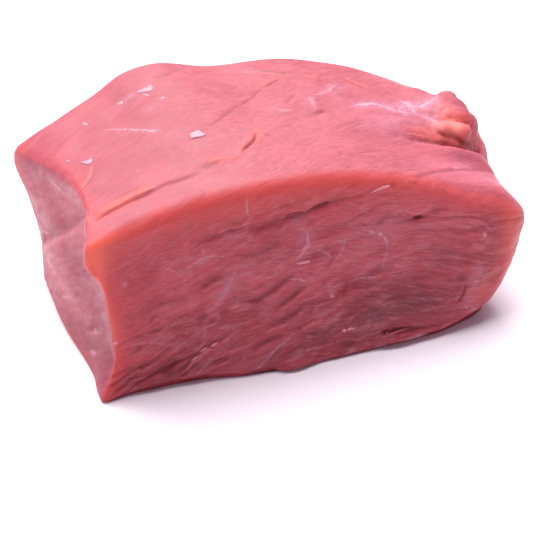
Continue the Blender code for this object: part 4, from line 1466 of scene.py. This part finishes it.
PATCHES = (
    # The cut front and the round end.
    # Rose: lighter tones of the meat, and painted light along the foot.
    *spots(
        (Patch, PatchTone.ROSE, FRONT),
        (35.6, 38.3, 14, 3.6, 12, 0.4), (32.3, 72.4, 16, 3.5, 12, 0.25), (55, 5, 14, 5, 0, 0.85),
        (24, 3, 18, 3, 0, 0.4), (65.3, 47.4, 14, 5, 15, 0.45), (87.3, 42.4, 22, 6, 12, 0.4),
        (117.1, 51.8, 18, 8, -10, 0.45), (121.3, 38.4, 9, 3.4, -10, 0.5), (138, 58, 34, 11, -15, 0.75),
    ),
    # Deep: deeper tones of the meat, and painted shade low on the front, above the cracks in the upper front and
    # under the knob.
    *spots(
        (Patch, PatchTone.DEEP, FRONT),
        (27.9, 12.2, 26, 9, 14, 0.45), (37.7, 26.6, 12, 5, 15, 0.35), (57, 72.5, 12, 2.6, -8, 0.35),
        (74, 69, 24, 5, 4, 0.28), (61.6, 27.8, 12, 6, 15, 0.3), (87.6, 24.3, 9, 3, 12, 0.5),
        (90.8, 74.5, 20, 2.8, 2, 0.25), (117.6, 24.9, 24, 10, 0, 0.4), (148.9, 46.2, 16, 8, -10, 0.1),
        (172, 36.1, 7, 14, 0, 0.45), (147.6, 18.9, 10, 8, 0, 0.35), (108, 3, 50, 10, 0, 0.42),
        (30, 4, 30, 9, 0, 0.22), (169.5, 68.4, 8, 2.4, -14, 1),
    ),
    # Mauve: a mauve tone of the meat, and painted shade in dents, low on the right and under the knob.
    *spots(
        (Patch, PatchTone.MAUVE, FRONT),
        (91.8, 12.8, 11, 4.4, 8, 0.6), (135.6, 19.7, 15, 9, 0, 0.85), (113.7, 15.5, 13, 8, 0, 0.6),
        (149.2, 35.7, 10, 3.4, -8, 0.5), (156.3, 26.4, 3.4, 2.4, 0, 0.5), (182, 64, 3.4, 5, 0, 0.5),
    ),
    # Coral: painted glow where light passes through thin edges and flaps.
    *spots(
        (Patch, PatchTone.CORAL, FRONT),
        (180, 38, 6, 18, -14, 0.55), (167.4, 18.2, 6, 6, 0, 0.35), (7.8, 36.4, 3, 9, 0, 0.35),
        (2, 70, 5.5, 9, 0, 0.9), (176, 72, 9, 3.4, 0, 0.7),
    ),
    # Lit: painted light on thin edges that catch the light.
    *spots(
        (Patch, PatchTone.LIT, FRONT),
        (-0.5, 69, 7.5, 8, -20, 0.56), (4, 50, 2.2, 14, 0, 0.42), (8, 74.5, 9, 1.8, 10, 0.4),
        (172, 71, 8, 3, -14, 0.34), (180, 48, 5, 12, 0, 0.2),
    ),
    *spots(
        (Patch, PatchTone.FILM, FRONT),
        (57.1, 65.8, 3.6, 1.5, -20, 0.52), (84.7, 67, 4.4, 1.8, 0, 0.52), (87.5, 58.9, 3.6, 5, 0, 0.22),
        (53.1, 40.7, 1.8, 3.6, -30, 0.39), (62.1, 32.9, 1.3, 1.3, 0, 0.39), (56.7, 23, 2.6, 1.6, 20, 0.28),
        (62.3, 51.3, 5, 1.6, 0, 0.25), (125, 56.7, 6, 1.8, 0, 0.33), (117.3, 37.9, 9, 2.8, 0, 0.25),
        (162.3, 25.9, 3, 3.4, 0, 0.36), (160.6, 15.9, 1.8, 4, 20, 0.22), (117.9, 14.5, 0.9, 2.4, 0, 0.28),
    ),
    # White: pale flecks, and a painted highlight by the knob.
    *spots(
        (Patch, PatchTone.WHITE, FRONT),
        (120, 2.1, 2.2, 1.2, 0, 0.35), (13.3, 53.7, 0.9, 1.1, 0, 0.4), (167.2, 45.2, 0.8, 1, 0, 0.45),
        (99, 28.9, 0.9, 0.6, 0, 0.55), (135.4, 3.2, 5, 1.4, 6, 0.45), (106, 2.8, 2.4, 1.2, 10, 0.3),
        (172, 71.4, 8, 2.4, -14, 0.12),
    ),
    # The plateau and the torn knob.
    *spots(
        (Patch, PatchTone.ROSE, TOP),
        (168, 12, 24, 9, 8, 0.6), (166, 24, 20, 7, 8, 0.5), (112, 20, 48, 9, 8, 0.26), (142, 43, 18, 9, 0, 0.35),
    ),
    # Deep: painted shade in the gap below the knob, and deeper tones of the meat.
    *spots(
        (Patch, PatchTone.DEEP, TOP),
        (168.5, 32.4, 7.5, 1.8, -4, 1), (52.5, 61.4, 26, 18, 20, 0.14), (116.7, 49.9, 6, 4, 35, 0.15),
        (112.6, 55.7, 16, 7, 25, 0.12), (119, 18.6, 7, 3, 20, 0.26),
    ),
    *spots(
        (Patch, PatchTone.MAUVE, TOP),
        (152.7, 46.9, 12, 5, 10, 0.25),
    ),
    # Coral: painted glow where light passes through thin edges and flaps.
    *spots(
        (Patch, PatchTone.CORAL, TOP),
        (15.1, 13.3, 6.6, 2.4, 6, 0.8), (60, 22.5, 3, 1.6, 0, 0.5), (81.6, 33.7, 2, 3.2, -20, 0.6),
        (143.6, 75, 5.4, 2.6, -48.6, 0.36), (173.6, 46, 4.4, 6.6, 0, 0.75), (154.8, 35.6, 8.6, 2.8, -8, 0.46),
        (171, 37, 8, 4.4, 0, 0.75), (52, 83.2, 1.5, 2.6, -25, 0.55), (25.1, 89.4, 5.6, 1.3, 0, 0.5),
        (106.6, 82.9, 2.4, 1.4, 40, 0.5), (80.1, 96, 7, 1.4, 0, 0.25), (134, 3.4, 6, 2, 10, 0.3),
    ),
    # Lit: painted light on the knob.
    *spots(
        (Patch, PatchTone.LIT, TOP),
        (171.4, 37.6, 8, 4.6, 0, 0.36),
    ),
    *spots(
        (Patch, PatchTone.FILM, TOP),
        (166, 13.5, 22, 7, 0, 0.4), (171, 23, 10, 6, 0, 0.3), (140, 42, 16, 8, 0, 0.22), (147, 40, 14, 7, 0, 0.35),
        (160.6, 55.6, 8, 5.4, 15, 0.68), (143.6, 56.6, 12, 4, 4, 0.55), (170.6, 51.7, 4, 5, 0, 0.4),
        (38.2, 80.6, 5, 1.6, 10, 0.7), (44.4, 66.1, 2, 1.8, 0, 0.55), (51.4, 71.6, 2.2, 1.6, 35, 0.55),
        (132.4, 72, 3.2, 2.2, 35, 0.45),
    ),
    # White: pale flecks, and painted highlights on the lip and the knob.
    *spots(
        (Patch, PatchTone.WHITE, TOP),
        (163.5, 15.8, 1.6, 0.6, 15, 0.45), (171.6, 37.4, 7.4, 4, 0, 0.16), (99, 53.6, 3, 1.2, -25, 0.35),
    ),
    # The square cut.
    # Rose: lighter tones of the meat, and painted light on the rounded top of the lower muscle just below the seam.
    *spots(
        (Patch, PatchTone.ROSE, LEFT),
        (60, 24, 30, 12, 0, 0.6), (36, 54, 24, 5, -38, 0.4), (52, 60, 36, 13, -20, 0.45),
    ),
    # Deep: deeper tones of the meat, and painted shade above the seam.
    *spots(
        (Patch, PatchTone.DEEP, LEFT),
        (12, 26, 7, 6, 0, 0.4), (24, 12, 16, 5, -20, 0.35), (52, 58, 24, 9, -30, 0.1),
    ),
    *spots(
        (Patch, PatchTone.MAUVE, LEFT),
        (34, 38, 10, 8, 0, 0.12),
    ),
    # Coral: painted glow where light passes through thin edges.
    *spots(
        (Patch, PatchTone.CORAL, LEFT),
        (8, 63, 9, 6, -40, 0.6), (86, 62, 5, 9, 0, 0.5), (34, 18, 34, 16, 0, 0.16), (56, 58, 34, 14, -20, 0.22),
    ),
    *spots(
        (Patch, PatchTone.FILM, LEFT),
        (16, 9.4, 4, 1.4, -30, 0.8), (14.6, 21.4, 3.4, 0.9, -35, 0.6),
    ),
    *spots(
        (Patch, PatchTone.WHITE, LEFT),
        (15.4, 9.6, 2.4, 1.1, -30, 0.35), (15, 20.9, 1.3, 0.8, 0, 0.6), (56.6, 67, 4.4, 0.9, 8, 0.5),
    ),
)


FLECKS = (
    *marks(
        (Fleck, TOP),
        (((53.8, 38.1), (54.2, 41.5), (56.2, 42), (58.4, 42.7), (59.4, 40.6), (60.5, 38.3), (57.2, 37.8)), 0.33),
        (((9.9, 52), (11.6, 51.2), (13.3, 50.4), (15.2, 51.1), (15.3, 49), (13.9, 47.2), (12.4, 48.1),
         (11.1, 49.9)),),
        (((5.5, 57), (7.2, 56.7), (7.6, 55.4), (6.3, 55.2)),),
        (((43.2, 81.9), (46.7, 82.6), (48.6, 83), (50.1, 84.9), (50.5, 82.1), (49.8, 79.9), (47.8, 79.5),
         (45.7, 80.3), (43.4, 80.6)), 0.3),
        (((44.6, 79.9), (45.6, 79.6), (47.1, 77), (47.2, 75.8), (46.5, 76), (45.7, 77.7)), 0.15),
        (((34.2, 80.7), (35.6, 81.1), (36.6, 80.2), (36, 78.8), (34.8, 79)), 0.15),
        (((17.8, 79), (19.1, 78.9), (20.1, 76.5), (19, 75.9)), 0.18),
        (((50.8, 71.6), (51.8, 72.6), (52.8, 72.2), (52, 71)), 0.12),
    ),
    *marks(
        (Fleck, FRONT),
        (((117, 71.3), (119.9, 72.5), (122.7, 73.1), (125.2, 73.1), (126.2, 72.6), (125.2, 72.1), (122.7, 72.1),
         (119.9, 71.6)), 0.22),
        (((102.4, 12.8), (103.5, 13.6), (104.7, 12.7), (104.2, 11.9), (103, 12)), 0.25),
        (((104.8, 13), (106.2, 13.8), (107.1, 13.1), (108.6, 13.2), (107.9, 12.2), (106.5, 12.4), (105.4, 11.7)),
         0.25),
        (((83.4, 47.6), (86.6, 48.1), (90, 47.7), (89.4, 46.8), (85.5, 46.7)), 0.2),
        (((41, 14.8), (42.5, 16), (44.9, 16.9), (43.4, 15.6)), 0.25),
        (((37.4, 11.5), (39.2, 13), (41, 13.7), (39.4, 12.3)), 0.2),
        (((45.8, 17), (47.6, 18.1), (49.4, 18.5), (47.6, 17.2)), 0.2),
        (((98.5, 29.1), (99.8, 29.4), (100, 28.6), (98.8, 28.4)), 0.2),
        (((166.6, 45.9), (167.5, 46.1), (167.8, 44.4), (166.9, 44.3)), 0.2),
        (((147.8, 69.5), (149.7, 70.4), (150.5, 69.9), (148.6, 69.2)), 0.2),
        (((6.4, 27.7), (8.2, 28.3), (8.6, 27.7), (6.9, 26.7)), 0.25),
    ),
)

FIBRE_ENDS = (
    FibreEnds(FRONT, (9.0, 26.0), (70.0, 76.0), 64, Grain.hair_slopes, seed=71),
    FibreEnds(FRONT, (9.0, 4.0), (80.0, 24.0), 30, Grain.bundle_slopes, seed=75),
    FibreEnds(FRONT, (60.0, 5.0), (172.0, 54.0), 170, Grain.hair_slopes, seed=72),
    FibreEnds(FRONT, (70.0, 50.0), (150.0, 72.0), 40, Grain.hair_slopes, (2.5, 6.0), seed=73),
    FibreEnds(
        TOP, (10.0, 8.0), (176.0, 98.0), 30, ((0.0, 0.50), (200.0, 0.65)), (2.0, 5.0), (0.18, 0.28), 0.30, 74,
    ),
)


@dataclass(frozen=True)
class Ease:
    """A pattern's output, and the two levels between which it passes smoothly from start to end."""

    pattern: bpy.types.NodeSocket
    low: float
    high: float
    start: float = 0.0
    end: float = 1.0


def product(tree: bpy.types.NodeTree, *factors: Any) -> Any:
    """Multiplies the things that a layer's amount depends on.

    Args:
        tree: The node tree.
        factors: Attributes of the skin by name, numbers, outputs and eased patterns.

    Returns:
        The product's output, or a lone number as it is.
    """
    result = None
    for factor in factors:
        if isinstance(factor, str):
            factor = add_node(tree, "ShaderNodeAttribute", {"attribute_name": factor}).outputs["Fac"]
        elif isinstance(factor, Ease):
            levels = {"From Min": factor.low, "From Max": factor.high, "To Min": factor.start, "To Max": factor.end}
            settings = {"interpolation_type": "SMOOTHSTEP"}
            factor = add_node(tree, "ShaderNodeMapRange", settings, {"Value": factor.pattern, **levels}).outputs[0]
        if result is not None:
            factor = add_node(tree, "ShaderNodeMath", {"operation": "MULTIPLY"}, {0: result, 1: factor}).outputs[0]
        result = factor
    return result


def laid(tree: bpy.types.NodeTree, base: str, *layers: tuple) -> bpy.types.NodeSocket:
    """Lays tones over a base, one after the other.

    Args:
        tree: The node tree.
        base: The lowest tone in hex.
        layers: For each, its tone, in hex or as an output, and the factors of its amount.

    Returns:
        The colour's output.
    """
    colour = linear_colour(base)
    for tone, *factors in layers:
        over = linear_colour(tone) if isinstance(tone, str) else tone
        inputs = {0: product(tree, *factors), 6: colour, 7: over}
        colour = add_node(tree, "ShaderNodeMix", {"data_type": "RGBA"}, inputs).outputs[2]
    return colour


def fibres(tree: bpy.types.NodeTree, runs: Sequence[tuple], detail: float = 2.0) -> bpy.types.NodeSocket:
    """Noise drawn out along the fibres, which run another way on each side of the block.

    A flow holds the places along and across the fibres. It is divided by the length and width of a
    cell and read as noise. Each run lies over the ones before it where its mask is 1.

    Args:
        tree: The node tree.
        runs: For each, its mask and its flow, both attributes of the skin, and its cell's length
            and width. The first needs no mask.
        detail: How much finer noise is added.

    Returns:
        The noise's output.
    """
    result = None
    for mask, flow, length, width in runs:
        places = add_node(tree, "ShaderNodeAttribute", {"attribute_name": flow}).outputs["Vector"]
        share = {0: places, 1: (1.0 / length, 1.0 / width, 1.0)}
        cells = add_node(tree, "ShaderNodeVectorMath", {"operation": "MULTIPLY"}, share).outputs[0]
        inputs = {"Vector": cells, "Scale": 1.0, "Detail": detail, "Roughness": 0.55}
        noise = add_node(tree, "ShaderNodeTexNoise", {}, inputs).outputs[0]
        if result is not None:
            inputs = {0: product(tree, mask), 2: result, 3: noise}
            noise = add_node(tree, "ShaderNodeMix", {"data_type": "FLOAT"}, inputs).outputs[0]
        result = noise
    return result


def drawn_line(tree: bpy.types.NodeTree, name: str, softness: float) -> bpy.types.NodeSocket:
    """A thin line: full where its gap is less than its half width, and fading past that.

    Args:
        tree: The node tree.
        name: The attribute that holds the signed gap, the half width and the strength.
        softness: How far it fades, in millimetres.

    Returns:
        The line's amount.
    """
    held = add_node(tree, "ShaderNodeAttribute", {"attribute_name": name}).outputs["Vector"]
    gap, half_width, strength = add_node(tree, "ShaderNodeSeparateXYZ", {}, {0: held}).outputs
    gap = add_node(tree, "ShaderNodeMath", {"operation": "ABSOLUTE"}, {0: gap}).outputs[0]
    inside = add_node(tree, "ShaderNodeMath", {"operation": "SUBTRACT"}, {0: half_width, 1: gap}).outputs[0]
    return product(tree, Ease(inside, -softness, softness * 0.6), strength)


def blank_material(name: str) -> bpy.types.Material:
    """A new material with an empty node tree."""
    material = bpy.data.materials.new(name)
    material.use_nodes = True
    material.node_tree.nodes.clear()
    return material


def wet_tissue(
    tree: bpy.types.NodeTree, finish: "RawVeal | Membrane", colour: Any, rough: Any, height: Any
) -> None:
    """Ends a tree in wet tissue: light scatters inside it, and its surface is bumped.

    Args:
        tree: The node tree.
        finish: Gives the IOR, the scattering and the bump.
        colour: The colour's output.
        rough: The roughness, a number or an output.
        height: The output that the bump follows.
    """
    inputs = {"Strength": finish.bump_strength, "Distance": finish.bump_mm * MM, "Height": height}
    bump = add_node(tree, "ShaderNodeBump", {}, inputs).outputs[0]
    inputs = {
        "Base Color": colour, "Roughness": rough, "IOR": finish.ior, "Subsurface Weight": finish.subsurface,
        "Subsurface Radius": tuple(r * MM for r in finish.radius_mm), "Subsurface Scale": 1.0, "Normal": bump,
    }
    shader = add_node(tree, "ShaderNodeBsdfPrincipled", {"subsurface_method": "RANDOM_WALK"}, inputs)
    add_node(tree, "ShaderNodeOutputMaterial", {}, {0: shader.outputs[0]})


@dataclass(frozen=True)
class RawVeal:
    """Raw veal, freshly cut with a knife: wet muscle that light enters and leaves again.

    To the eye it is a soft rose red without hard highlights. Red light travels millimetres through
    it, so thin edges glow coral, and the watery film on top gives a faint broad sheen. Muscle has an
    IOR of about 1.38, water 1.33.

    The cells of its patterns are millimetres. Bundles of fibres are 1 to 3 mm thick. Single fibres
    are about 0.05 mm thick and are drawn 0.8 to 1.1 mm thick, the finest that shows. On the square
    cut, the cells are shares of the mosaic's.
    """

    body: str = "#b03843"
    body_pale: str = "#c6535f"
    # The plateau's own tones, less red than the sides'; the difference also stands in for the broad pale sheen on
    # the top, so it is partly painted light.
    deck_body: str = "#9c3e4b"
    deck_pale: str = "#b15866"
    # Lighter tones of the meat, and painted light along the foot and on the lower muscle's rounded top.
    rose: str = "#c45c69"
    # A deeper tone of the meat, and painted shade low on the front, above the cracks and under the knob.
    deep: str = "#7e222c"
    # Pale fibre ends, and the painted highlight on the lips of creases.
    hair: str = "#d2757e"
    # Dark lines between fibres, and painted shade in crease beds and the mosaic's walls.
    crease: str = "#741f2a"
    # Painted shade along the bottom of cracks.
    slit: str = "#720e17"
    # Painted glow where light passes through thin proud edges and flaps.
    coral: str = "#d45f58"
    # Painted glow along the rims, where light passes through thin meat.
    glow: str = "#de544e"
    # Painted light on thin edges that catch it.
    lit: str = "#ff7a5e"
    film: str = "#b47590"
    # A mauve tone of the meat, and painted shade in dents, low on the right and under the knob.
    mauve: str = "#6f2c3d"
    milk: str = "#c07079"
    # Pale veins and white flecks, and painted highlights where the white patches lie on the lip and the knob.
    fat: str = "#dba2b0"
    cut_tone: str = "#9d4a59"
    cut_vein: str = "#a75466"
    sinew_runs: tuple = (("", "bundles", 15.0, 2.6), ("deck", "slant", 12.0, 3.0), ("cut", "ends", 1.2, 1.2))
    hair_runs: tuple = (
        ("", "hairs", 5.5, 0.8), ("climb", "bundles", 7.0, 1.1),
        ("deck", "slant", 4.0, 0.9), ("cut", "ends", 0.3, 0.3),
    )
    milk_runs: tuple = (("", "bundles", 6.5, 2.4),)
    mosaic_runs: tuple = (("", "ends", 0.75, 0.75),)
    cloud_cells: tuple[tuple[float, float], ...] = ((15.0, 3.0), (3.2, 2.0), (2.2, 2.0), (1.3, 2.0))
    roughness: tuple[float, float] = (0.42, 0.60)
    ior: float = 1.38
    subsurface: float = 0.55
    radius_mm: tuple[float, float, float] = (5.0, 1.5, 1.2)
    bump_mm: float = 0.30
    bump_strength: float = 0.55

    def material(self) -> bpy.types.Material:
        """Builds the node tree: the tones of the three kinds of side, the layers over them and the bump.

        Returns:
            The material `raw_veal_cut_muscle`.
        """
        material = blank_material("raw_veal_cut_muscle")
        tree = material.node_tree
        place = add_node(tree, "ShaderNodeTexCoord").outputs["Object"]
        clouds = []
        for size, detail in self.cloud_cells:
            inputs = {"Vector": place, "Scale": 1.0 / (size * MM), "Detail": detail, "Roughness": 0.55}
            clouds.append(add_node(tree, "ShaderNodeTexNoise", {}, inputs).outputs[0])
        cloud, mottle, breaks, speck = clouds
        sinew, hair, milk = (fibres(tree, runs) for runs in (self.sinew_runs, self.hair_runs, self.milk_runs))
        mosaic = fibres(tree, self.mosaic_runs, 3.0)

        pale_sinew = product(tree, Ease(sinew, 0.32, 0.70, 0.0, 0.50))
        pale_cloud = product(tree, Ease(cloud, 0.30, 0.70, 0.0, 0.50))
        paleness = add_node(tree, "ShaderNodeMath", {"operation": "ADD"}, {0: pale_sinew, 1: pale_cloud}).outputs[0]
        uneven = product(tree, Ease(cloud, 0.28, 0.58, 0.65, 1.0))
        colour = laid(
            tree, self.body,
            (self.body_pale, paleness),
            # The plateau's tones: partly its own, partly painted for the broad sheen that falls on the top.
            (laid(tree, self.deck_body, (self.deck_pale, paleness)), "deck"),
            (laid(tree, self.cut_tone, (self.cut_vein, Ease(mosaic, 0.36, 0.64))), "cut"),
            # Lighter tones, partly painted light along the foot and the lower muscle's top.
            (self.rose, "rose"),
            # A deeper tone, partly painted shade.
            (self.deep, "deep", uneven),
            # A mauve tone, partly painted shade.
            (self.mauve, "mauve", uneven),
            (self.milk, "bare", Ease(milk, 0.46, 0.68, 0.0, 0.52), Ease(cloud, 0.36, 0.58, 0.35, 1.0)),
            (self.hair, "vivid", Ease(hair, 0.52, 0.72, 0.0, 0.34)),
            (self.crease, "vivid", Ease(hair, 0.30, 0.47, 0.38, 0.0)),
            # Painted shade in crease beds and between the mosaic's cells.
            (self.crease, "shade", Ease(mottle, 0.2, 0.6, 0.55, 0.9)),
            # Painted highlight on the lips of creases.
            (self.hair, "lip", Ease(speck, 0.32, 0.60, 0.15, 0.75)),
            (self.film, "film", Ease(mottle, 0.30, 0.62, 0.30, 0.85)),
            # Painted glow along the rims.
            (self.glow, "rim", 0.75),
            # Painted coral glow on thin proud edges and flaps.
            (self.coral, "coral", 0.75),
            # Painted light on lit edges.
            (self.lit, "lit"),
            (self.fat, drawn_line(tree, "pale_line", 0.55), Ease(breaks, 0.34, 0.58, 0.15, 1.0)),
            # White flecks, and painted highlights.
            (self.fat, "white"),
            # Painted shade along the bottom of cracks.
            (self.slit, drawn_line(tree, "painted_shade_line", 0.50)),
        )

        height = sinew
        for pattern, share in ((hair, 0.6), (speck, 0.25)):
            inputs = {0: pattern, 1: share, 2: height}
            height = add_node(tree, "ShaderNodeMath", {"operation": "MULTIPLY_ADD"}, inputs).outputs[0]
        wet_tissue(tree, self, colour, product(tree, Ease(sinew, 0.35, 0.7, *self.roughness)), height)
        return material


@dataclass
class VealBlock:
    """The whole roast as one closed skin."""

    form: BlockForm = field(default_factory=BlockForm)
    grid: SkinGrid = field(default_factory=SkinGrid)
    grain: Grain = field(default_factory=Grain)
    rims: PaintedRimGlow = field(default_factory=PaintedRimGlow)
    creases: list = field(init=False)
    skin: Skin = field(init=False)

    def __post_init__(self) -> None:
        """Gathers the creases that are listed one by one and those that are scattered."""
        self.creases = [*CREASES, *(line for patch in SCATTER for line in patch.lines())]

    def shape(self) -> None:
        """Presses the seams, scraps, slits and bundles into the plain form, from the largest to the finest."""
        points = self.form.points(self.grid.unit)
        skin = Skin(points, self.grid.normals(points))
        for mark in (*FURROWS, *HOLLOWS):
            mark.press(skin)
        points = points + skin.normals * skin.raised[:, None]
        for scrap in SCRAPS:
            points = scrap.swell(points)

        skin = Skin(points, self.grid.normals(points))
        for mark in (self.grain, *SLITS, *self.creases, *WRINKLES):
            mark.press(skin)
        above_foot = rising(self.grid.unit[:, 2], -1.0, 0.04)
        points = points + skin.normals * (skin.raised * above_foot)[:, None]
        points[:, 2] = np.maximum(points[:, 2], 0.0)
        points[self.grid.unit[:, 2] <= -1.0, 2] = 0.0
        self.skin = Skin(points, self.grid.normals(points), skin.paint)

    def colour(self) -> None:
        """Paints the marks, with their painted shade and highlights, the patches of tone, painted light and painted
        shade, and the painted glow of the rims on the shaped skin.
        """
        for mark in (*SLITS, *self.creases, *VEINS, *PATCHES):
            mark.paint(self.skin)
        self.rims.paint(self.skin, self.grid.unit)

    def build(self) -> bpy.types.Object:
        """Makes the piece that stands for the CAD node.

        Returns:
            The skin, dressed and riding on the root body.
        """
        self.shape()
        self.colour()
        piece = mesh_piece("veal_block", self.skin.points, [self.grid.quads, self.grid.fan])
        self.skin.paint.write(piece.data)
        piece.data.materials.append(RawVeal().material())
        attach(piece, BODY)
        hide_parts(NODE)
        return piece

    def chart(self, face: Face) -> Chart:
        """One side of the finished skin, for laying thin pieces on it."""
        ids = self.grid.charts[face.name.lower()]
        return Chart(face, self.skin.points[ids], self.skin.normals[ids])


@dataclass(frozen=True)
class Membrane:
    """Silverskin, the thin sheet of connective tissue round a muscle: torn, wet, milky and satin.

    Collagen has an IOR of about 1.42 and scatters all colours alike, so it turns the red below it pale.
    """

    tone: str = "#b3778a"
    thick_tone: str = "#bf8a99"
    roughness: float = 0.38
    ior: float = 1.42
    subsurface: float = 0.35
    radius_mm: tuple[float, float, float] = (1.4, 0.9, 0.9)
    bump_mm: float = 0.1
    bump_strength: float = 0.3
    clouds_per_mm: float = 0.9

    def material(self, name: str) -> bpy.types.Material:
        """Builds the node tree under the given name: milky, and paler where noise makes it thicker."""
        material = blank_material(name)
        tree = material.node_tree
        place = add_node(tree, "ShaderNodeTexCoord").outputs["Object"]
        inputs = {"Vector": place, "Scale": self.clouds_per_mm / MM, "Detail": 2.0}
        cloud = add_node(tree, "ShaderNodeTexNoise", {}, inputs).outputs[0]
        wet_tissue(tree, self, laid(tree, self.tone, (self.thick_tone, cloud)), self.roughness, cloud)
        return material


@dataclass
class LooseTissue:
    """The thin things that lie on the skin: flecks of membrane and the ends of fibres."""

    block: "VealBlock"

    def gather(self, name: str, parts: Sequence, finish: Membrane, material_name: str) -> bpy.types.Object:
        """Joins parts of one kind into one piece.

        Args:
            name: The piece's name.
            parts: Flecks or fibre ends.
            finish: What they are made of.
            material_name: The material's name.

        Returns:
            The piece, dressed and riding on the root body.
        """
        charts = {face: self.block.chart(face) for face in {part.face for part in parts}}
        points, faces, passed = [], [], 0
        for part in parts:
            own_points, own_faces = part.surface(charts[part.face])
            points.append(own_points)
            faces.append(own_faces + passed)
            passed += len(own_points)
        piece = mesh_piece(name, np.concatenate(points), faces)
        piece.data.materials.append(finish.material(material_name))
        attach(piece, BODY)
        return piece

    def build(self) -> list[bpy.types.Object]:
        """Makes the pieces: white flecks on the plateau, pinker ones on the cut face, and the ends."""
        plateau = [fleck for fleck in FLECKS if fleck.face is TOP]
        cut_face = [fleck for fleck in FLECKS if fleck.face is FRONT]
        sinew = Membrane("#d87883", "#e4909a", 0.42, 1.42, 0.35, (1.8, 0.8, 0.7))
        ends = Membrane("#b54d59", "#c0616d", 0.45, 1.38, 0.3, (1.5, 0.6, 0.5))
        return [
            self.gather("membrane_flecks", plateau, Membrane(), "silverskin_membrane"),
            self.gather("sinew_flecks", cut_face, sinew, "torn_sinew"),
            self.gather("fibre_ends", FIBRE_ENDS, ends, "loose_muscle_fibre"),
        ]


@dataclass
class Studio:
    """The pale floor, the soft light from above and behind, and the camera."""

    floor_size: float = 8000.0
    floor_drop: float = 0.15
    floor_colour: str = "#f4eff6"
    sky_colour: str = "#ece5ff"
    sky_strength: float = 0.28
    key_place: tuple[float, float, float] = (-100.0, 620.0, 1600.0)
    key_size: float = 1900.0
    key_power: float = 78.0
    back_place: tuple[float, float, float] = (560.0, 1540.0, 1150.0)
    back_size: tuple[float, float] = (2600.0, 1500.0)
    back_power: float = 16.0
    key_colour: str = "#fffdfb"
    azimuth: float = -20.0
    elevation: float = 35.0
    distance: float = 520.0
    lens: float = 85.0
    aside: float = 0.13333
    above: float = 0.09804

    def floor(self) -> bpy.types.Object:
        """A pale matt floor, far larger than the view."""
        half = self.floor_size / 2.0
        corners = np.array([(-half, -half), (half, -half), (half, half), (-half, half)])
        points = np.column_stack([corners, np.full(4, -self.floor_drop)]) + (*FOOTPRINT_MIDDLE, 0.0)
        piece = mesh_piece("floor", points, [np.array([[0, 1, 2, 3]])], False)
        material = bpy.data.materials.new("matt_white_board")
        material.use_nodes = True
        shader = material.node_tree.nodes["Principled BSDF"]
        shader.inputs["Base Color"].default_value = linear_colour(self.floor_colour)
        shader.inputs["Roughness"].default_value = 0.9
        shader.inputs["Specular IOR Level"].default_value = 0.1
        piece.data.materials.append(material)
        return piece

    def light(self) -> None:
        """A pale sky all round, and one large soft panel above, behind and to the left."""
        world = bpy.data.worlds.new("pale_room")
        world.use_nodes = True
        background = world.node_tree.nodes["Background"]
        background.inputs[0].default_value = linear_colour(self.sky_colour)
        background.inputs[1].default_value = self.sky_strength
        bpy.context.scene.world = world
        self.panel("overhead_panel", self.key_place, (self.key_size, self.key_size), self.key_power)
        self.panel("back_panel", self.back_place, self.back_size, self.back_power)

    def panel(self, name: str, at: tuple[float, float, float], size: tuple[float, float], power: float) -> None:
        """Hangs one soft panel that faces the roast.

        Args:
            name: The light's name.
            at: Its middle, in millimetres from the roast's footprint.
            size: Its width and height in millimetres.
            power: Its power in watts.
        """
        panel = bpy.data.lights.new(name, "AREA")
        panel.shape = "RECTANGLE"
        panel.size, panel.size_y = (side * MM for side in size)
        panel.energy = power
        panel.color = linear_colour(self.key_colour)[:3]
        holder = bpy.data.objects.new(name, panel)
        place = Vector(at) * MM
        holder.matrix_world = Matrix.Translation(place) @ place.to_track_quat("Z", "Y").to_matrix().to_4x4()
        bpy.context.scene.collection.objects.link(holder)

    def camera(self) -> None:
        """A long lens from the front left, above the roast."""
        turn, tilt = math.radians(self.azimuth), math.radians(self.elevation)
        back = Vector((math.sin(turn) * math.cos(tilt), -math.cos(turn) * math.cos(tilt), math.sin(tilt)))
        right = Vector((math.cos(turn), math.sin(turn), 0.0))
        up = back.cross(right)
        place = (back + right * self.aside + up * self.above) * self.distance
        place -= Vector((*FOOTPRINT_MIDDLE, 0.0))
        lens = bpy.data.cameras.new("camera")
        lens.lens = self.lens
        lens.sensor_width = 36.0
        lens.clip_start = 0.01
        lens.clip_end = 50.0
        holder = bpy.data.objects.new("camera", lens)
        turned = Matrix((right, up, back)).transposed().to_4x4()
        holder.matrix_world = Matrix.Translation(place * MM) @ turned
        bpy.context.scene.collection.objects.link(holder)
        bpy.context.scene.camera = holder

    def build(self) -> None:
        """Sets up the floor, the light and the camera."""
        self.floor()
        self.light()
        self.camera()
        bpy.context.scene.view_settings.view_transform = "Standard"


def main() -> None:
    """Builds the roast's pieces in order and reports each."""
    logging.basicConfig(level=logging.INFO, format="%(name)s: %(message)s")
    block = VealBlock()
    piece = block.build()
    for piece in (piece, *LooseTissue(block).build()):
        log.info("%s: %d points, %d faces", piece.name, len(piece.data.vertices), len(piece.data.polygons))
    Studio().build()
    log.info("floor, light and camera are set")
    bpy.context.view_layer.update()


if __name__ == "__main__":
    main()
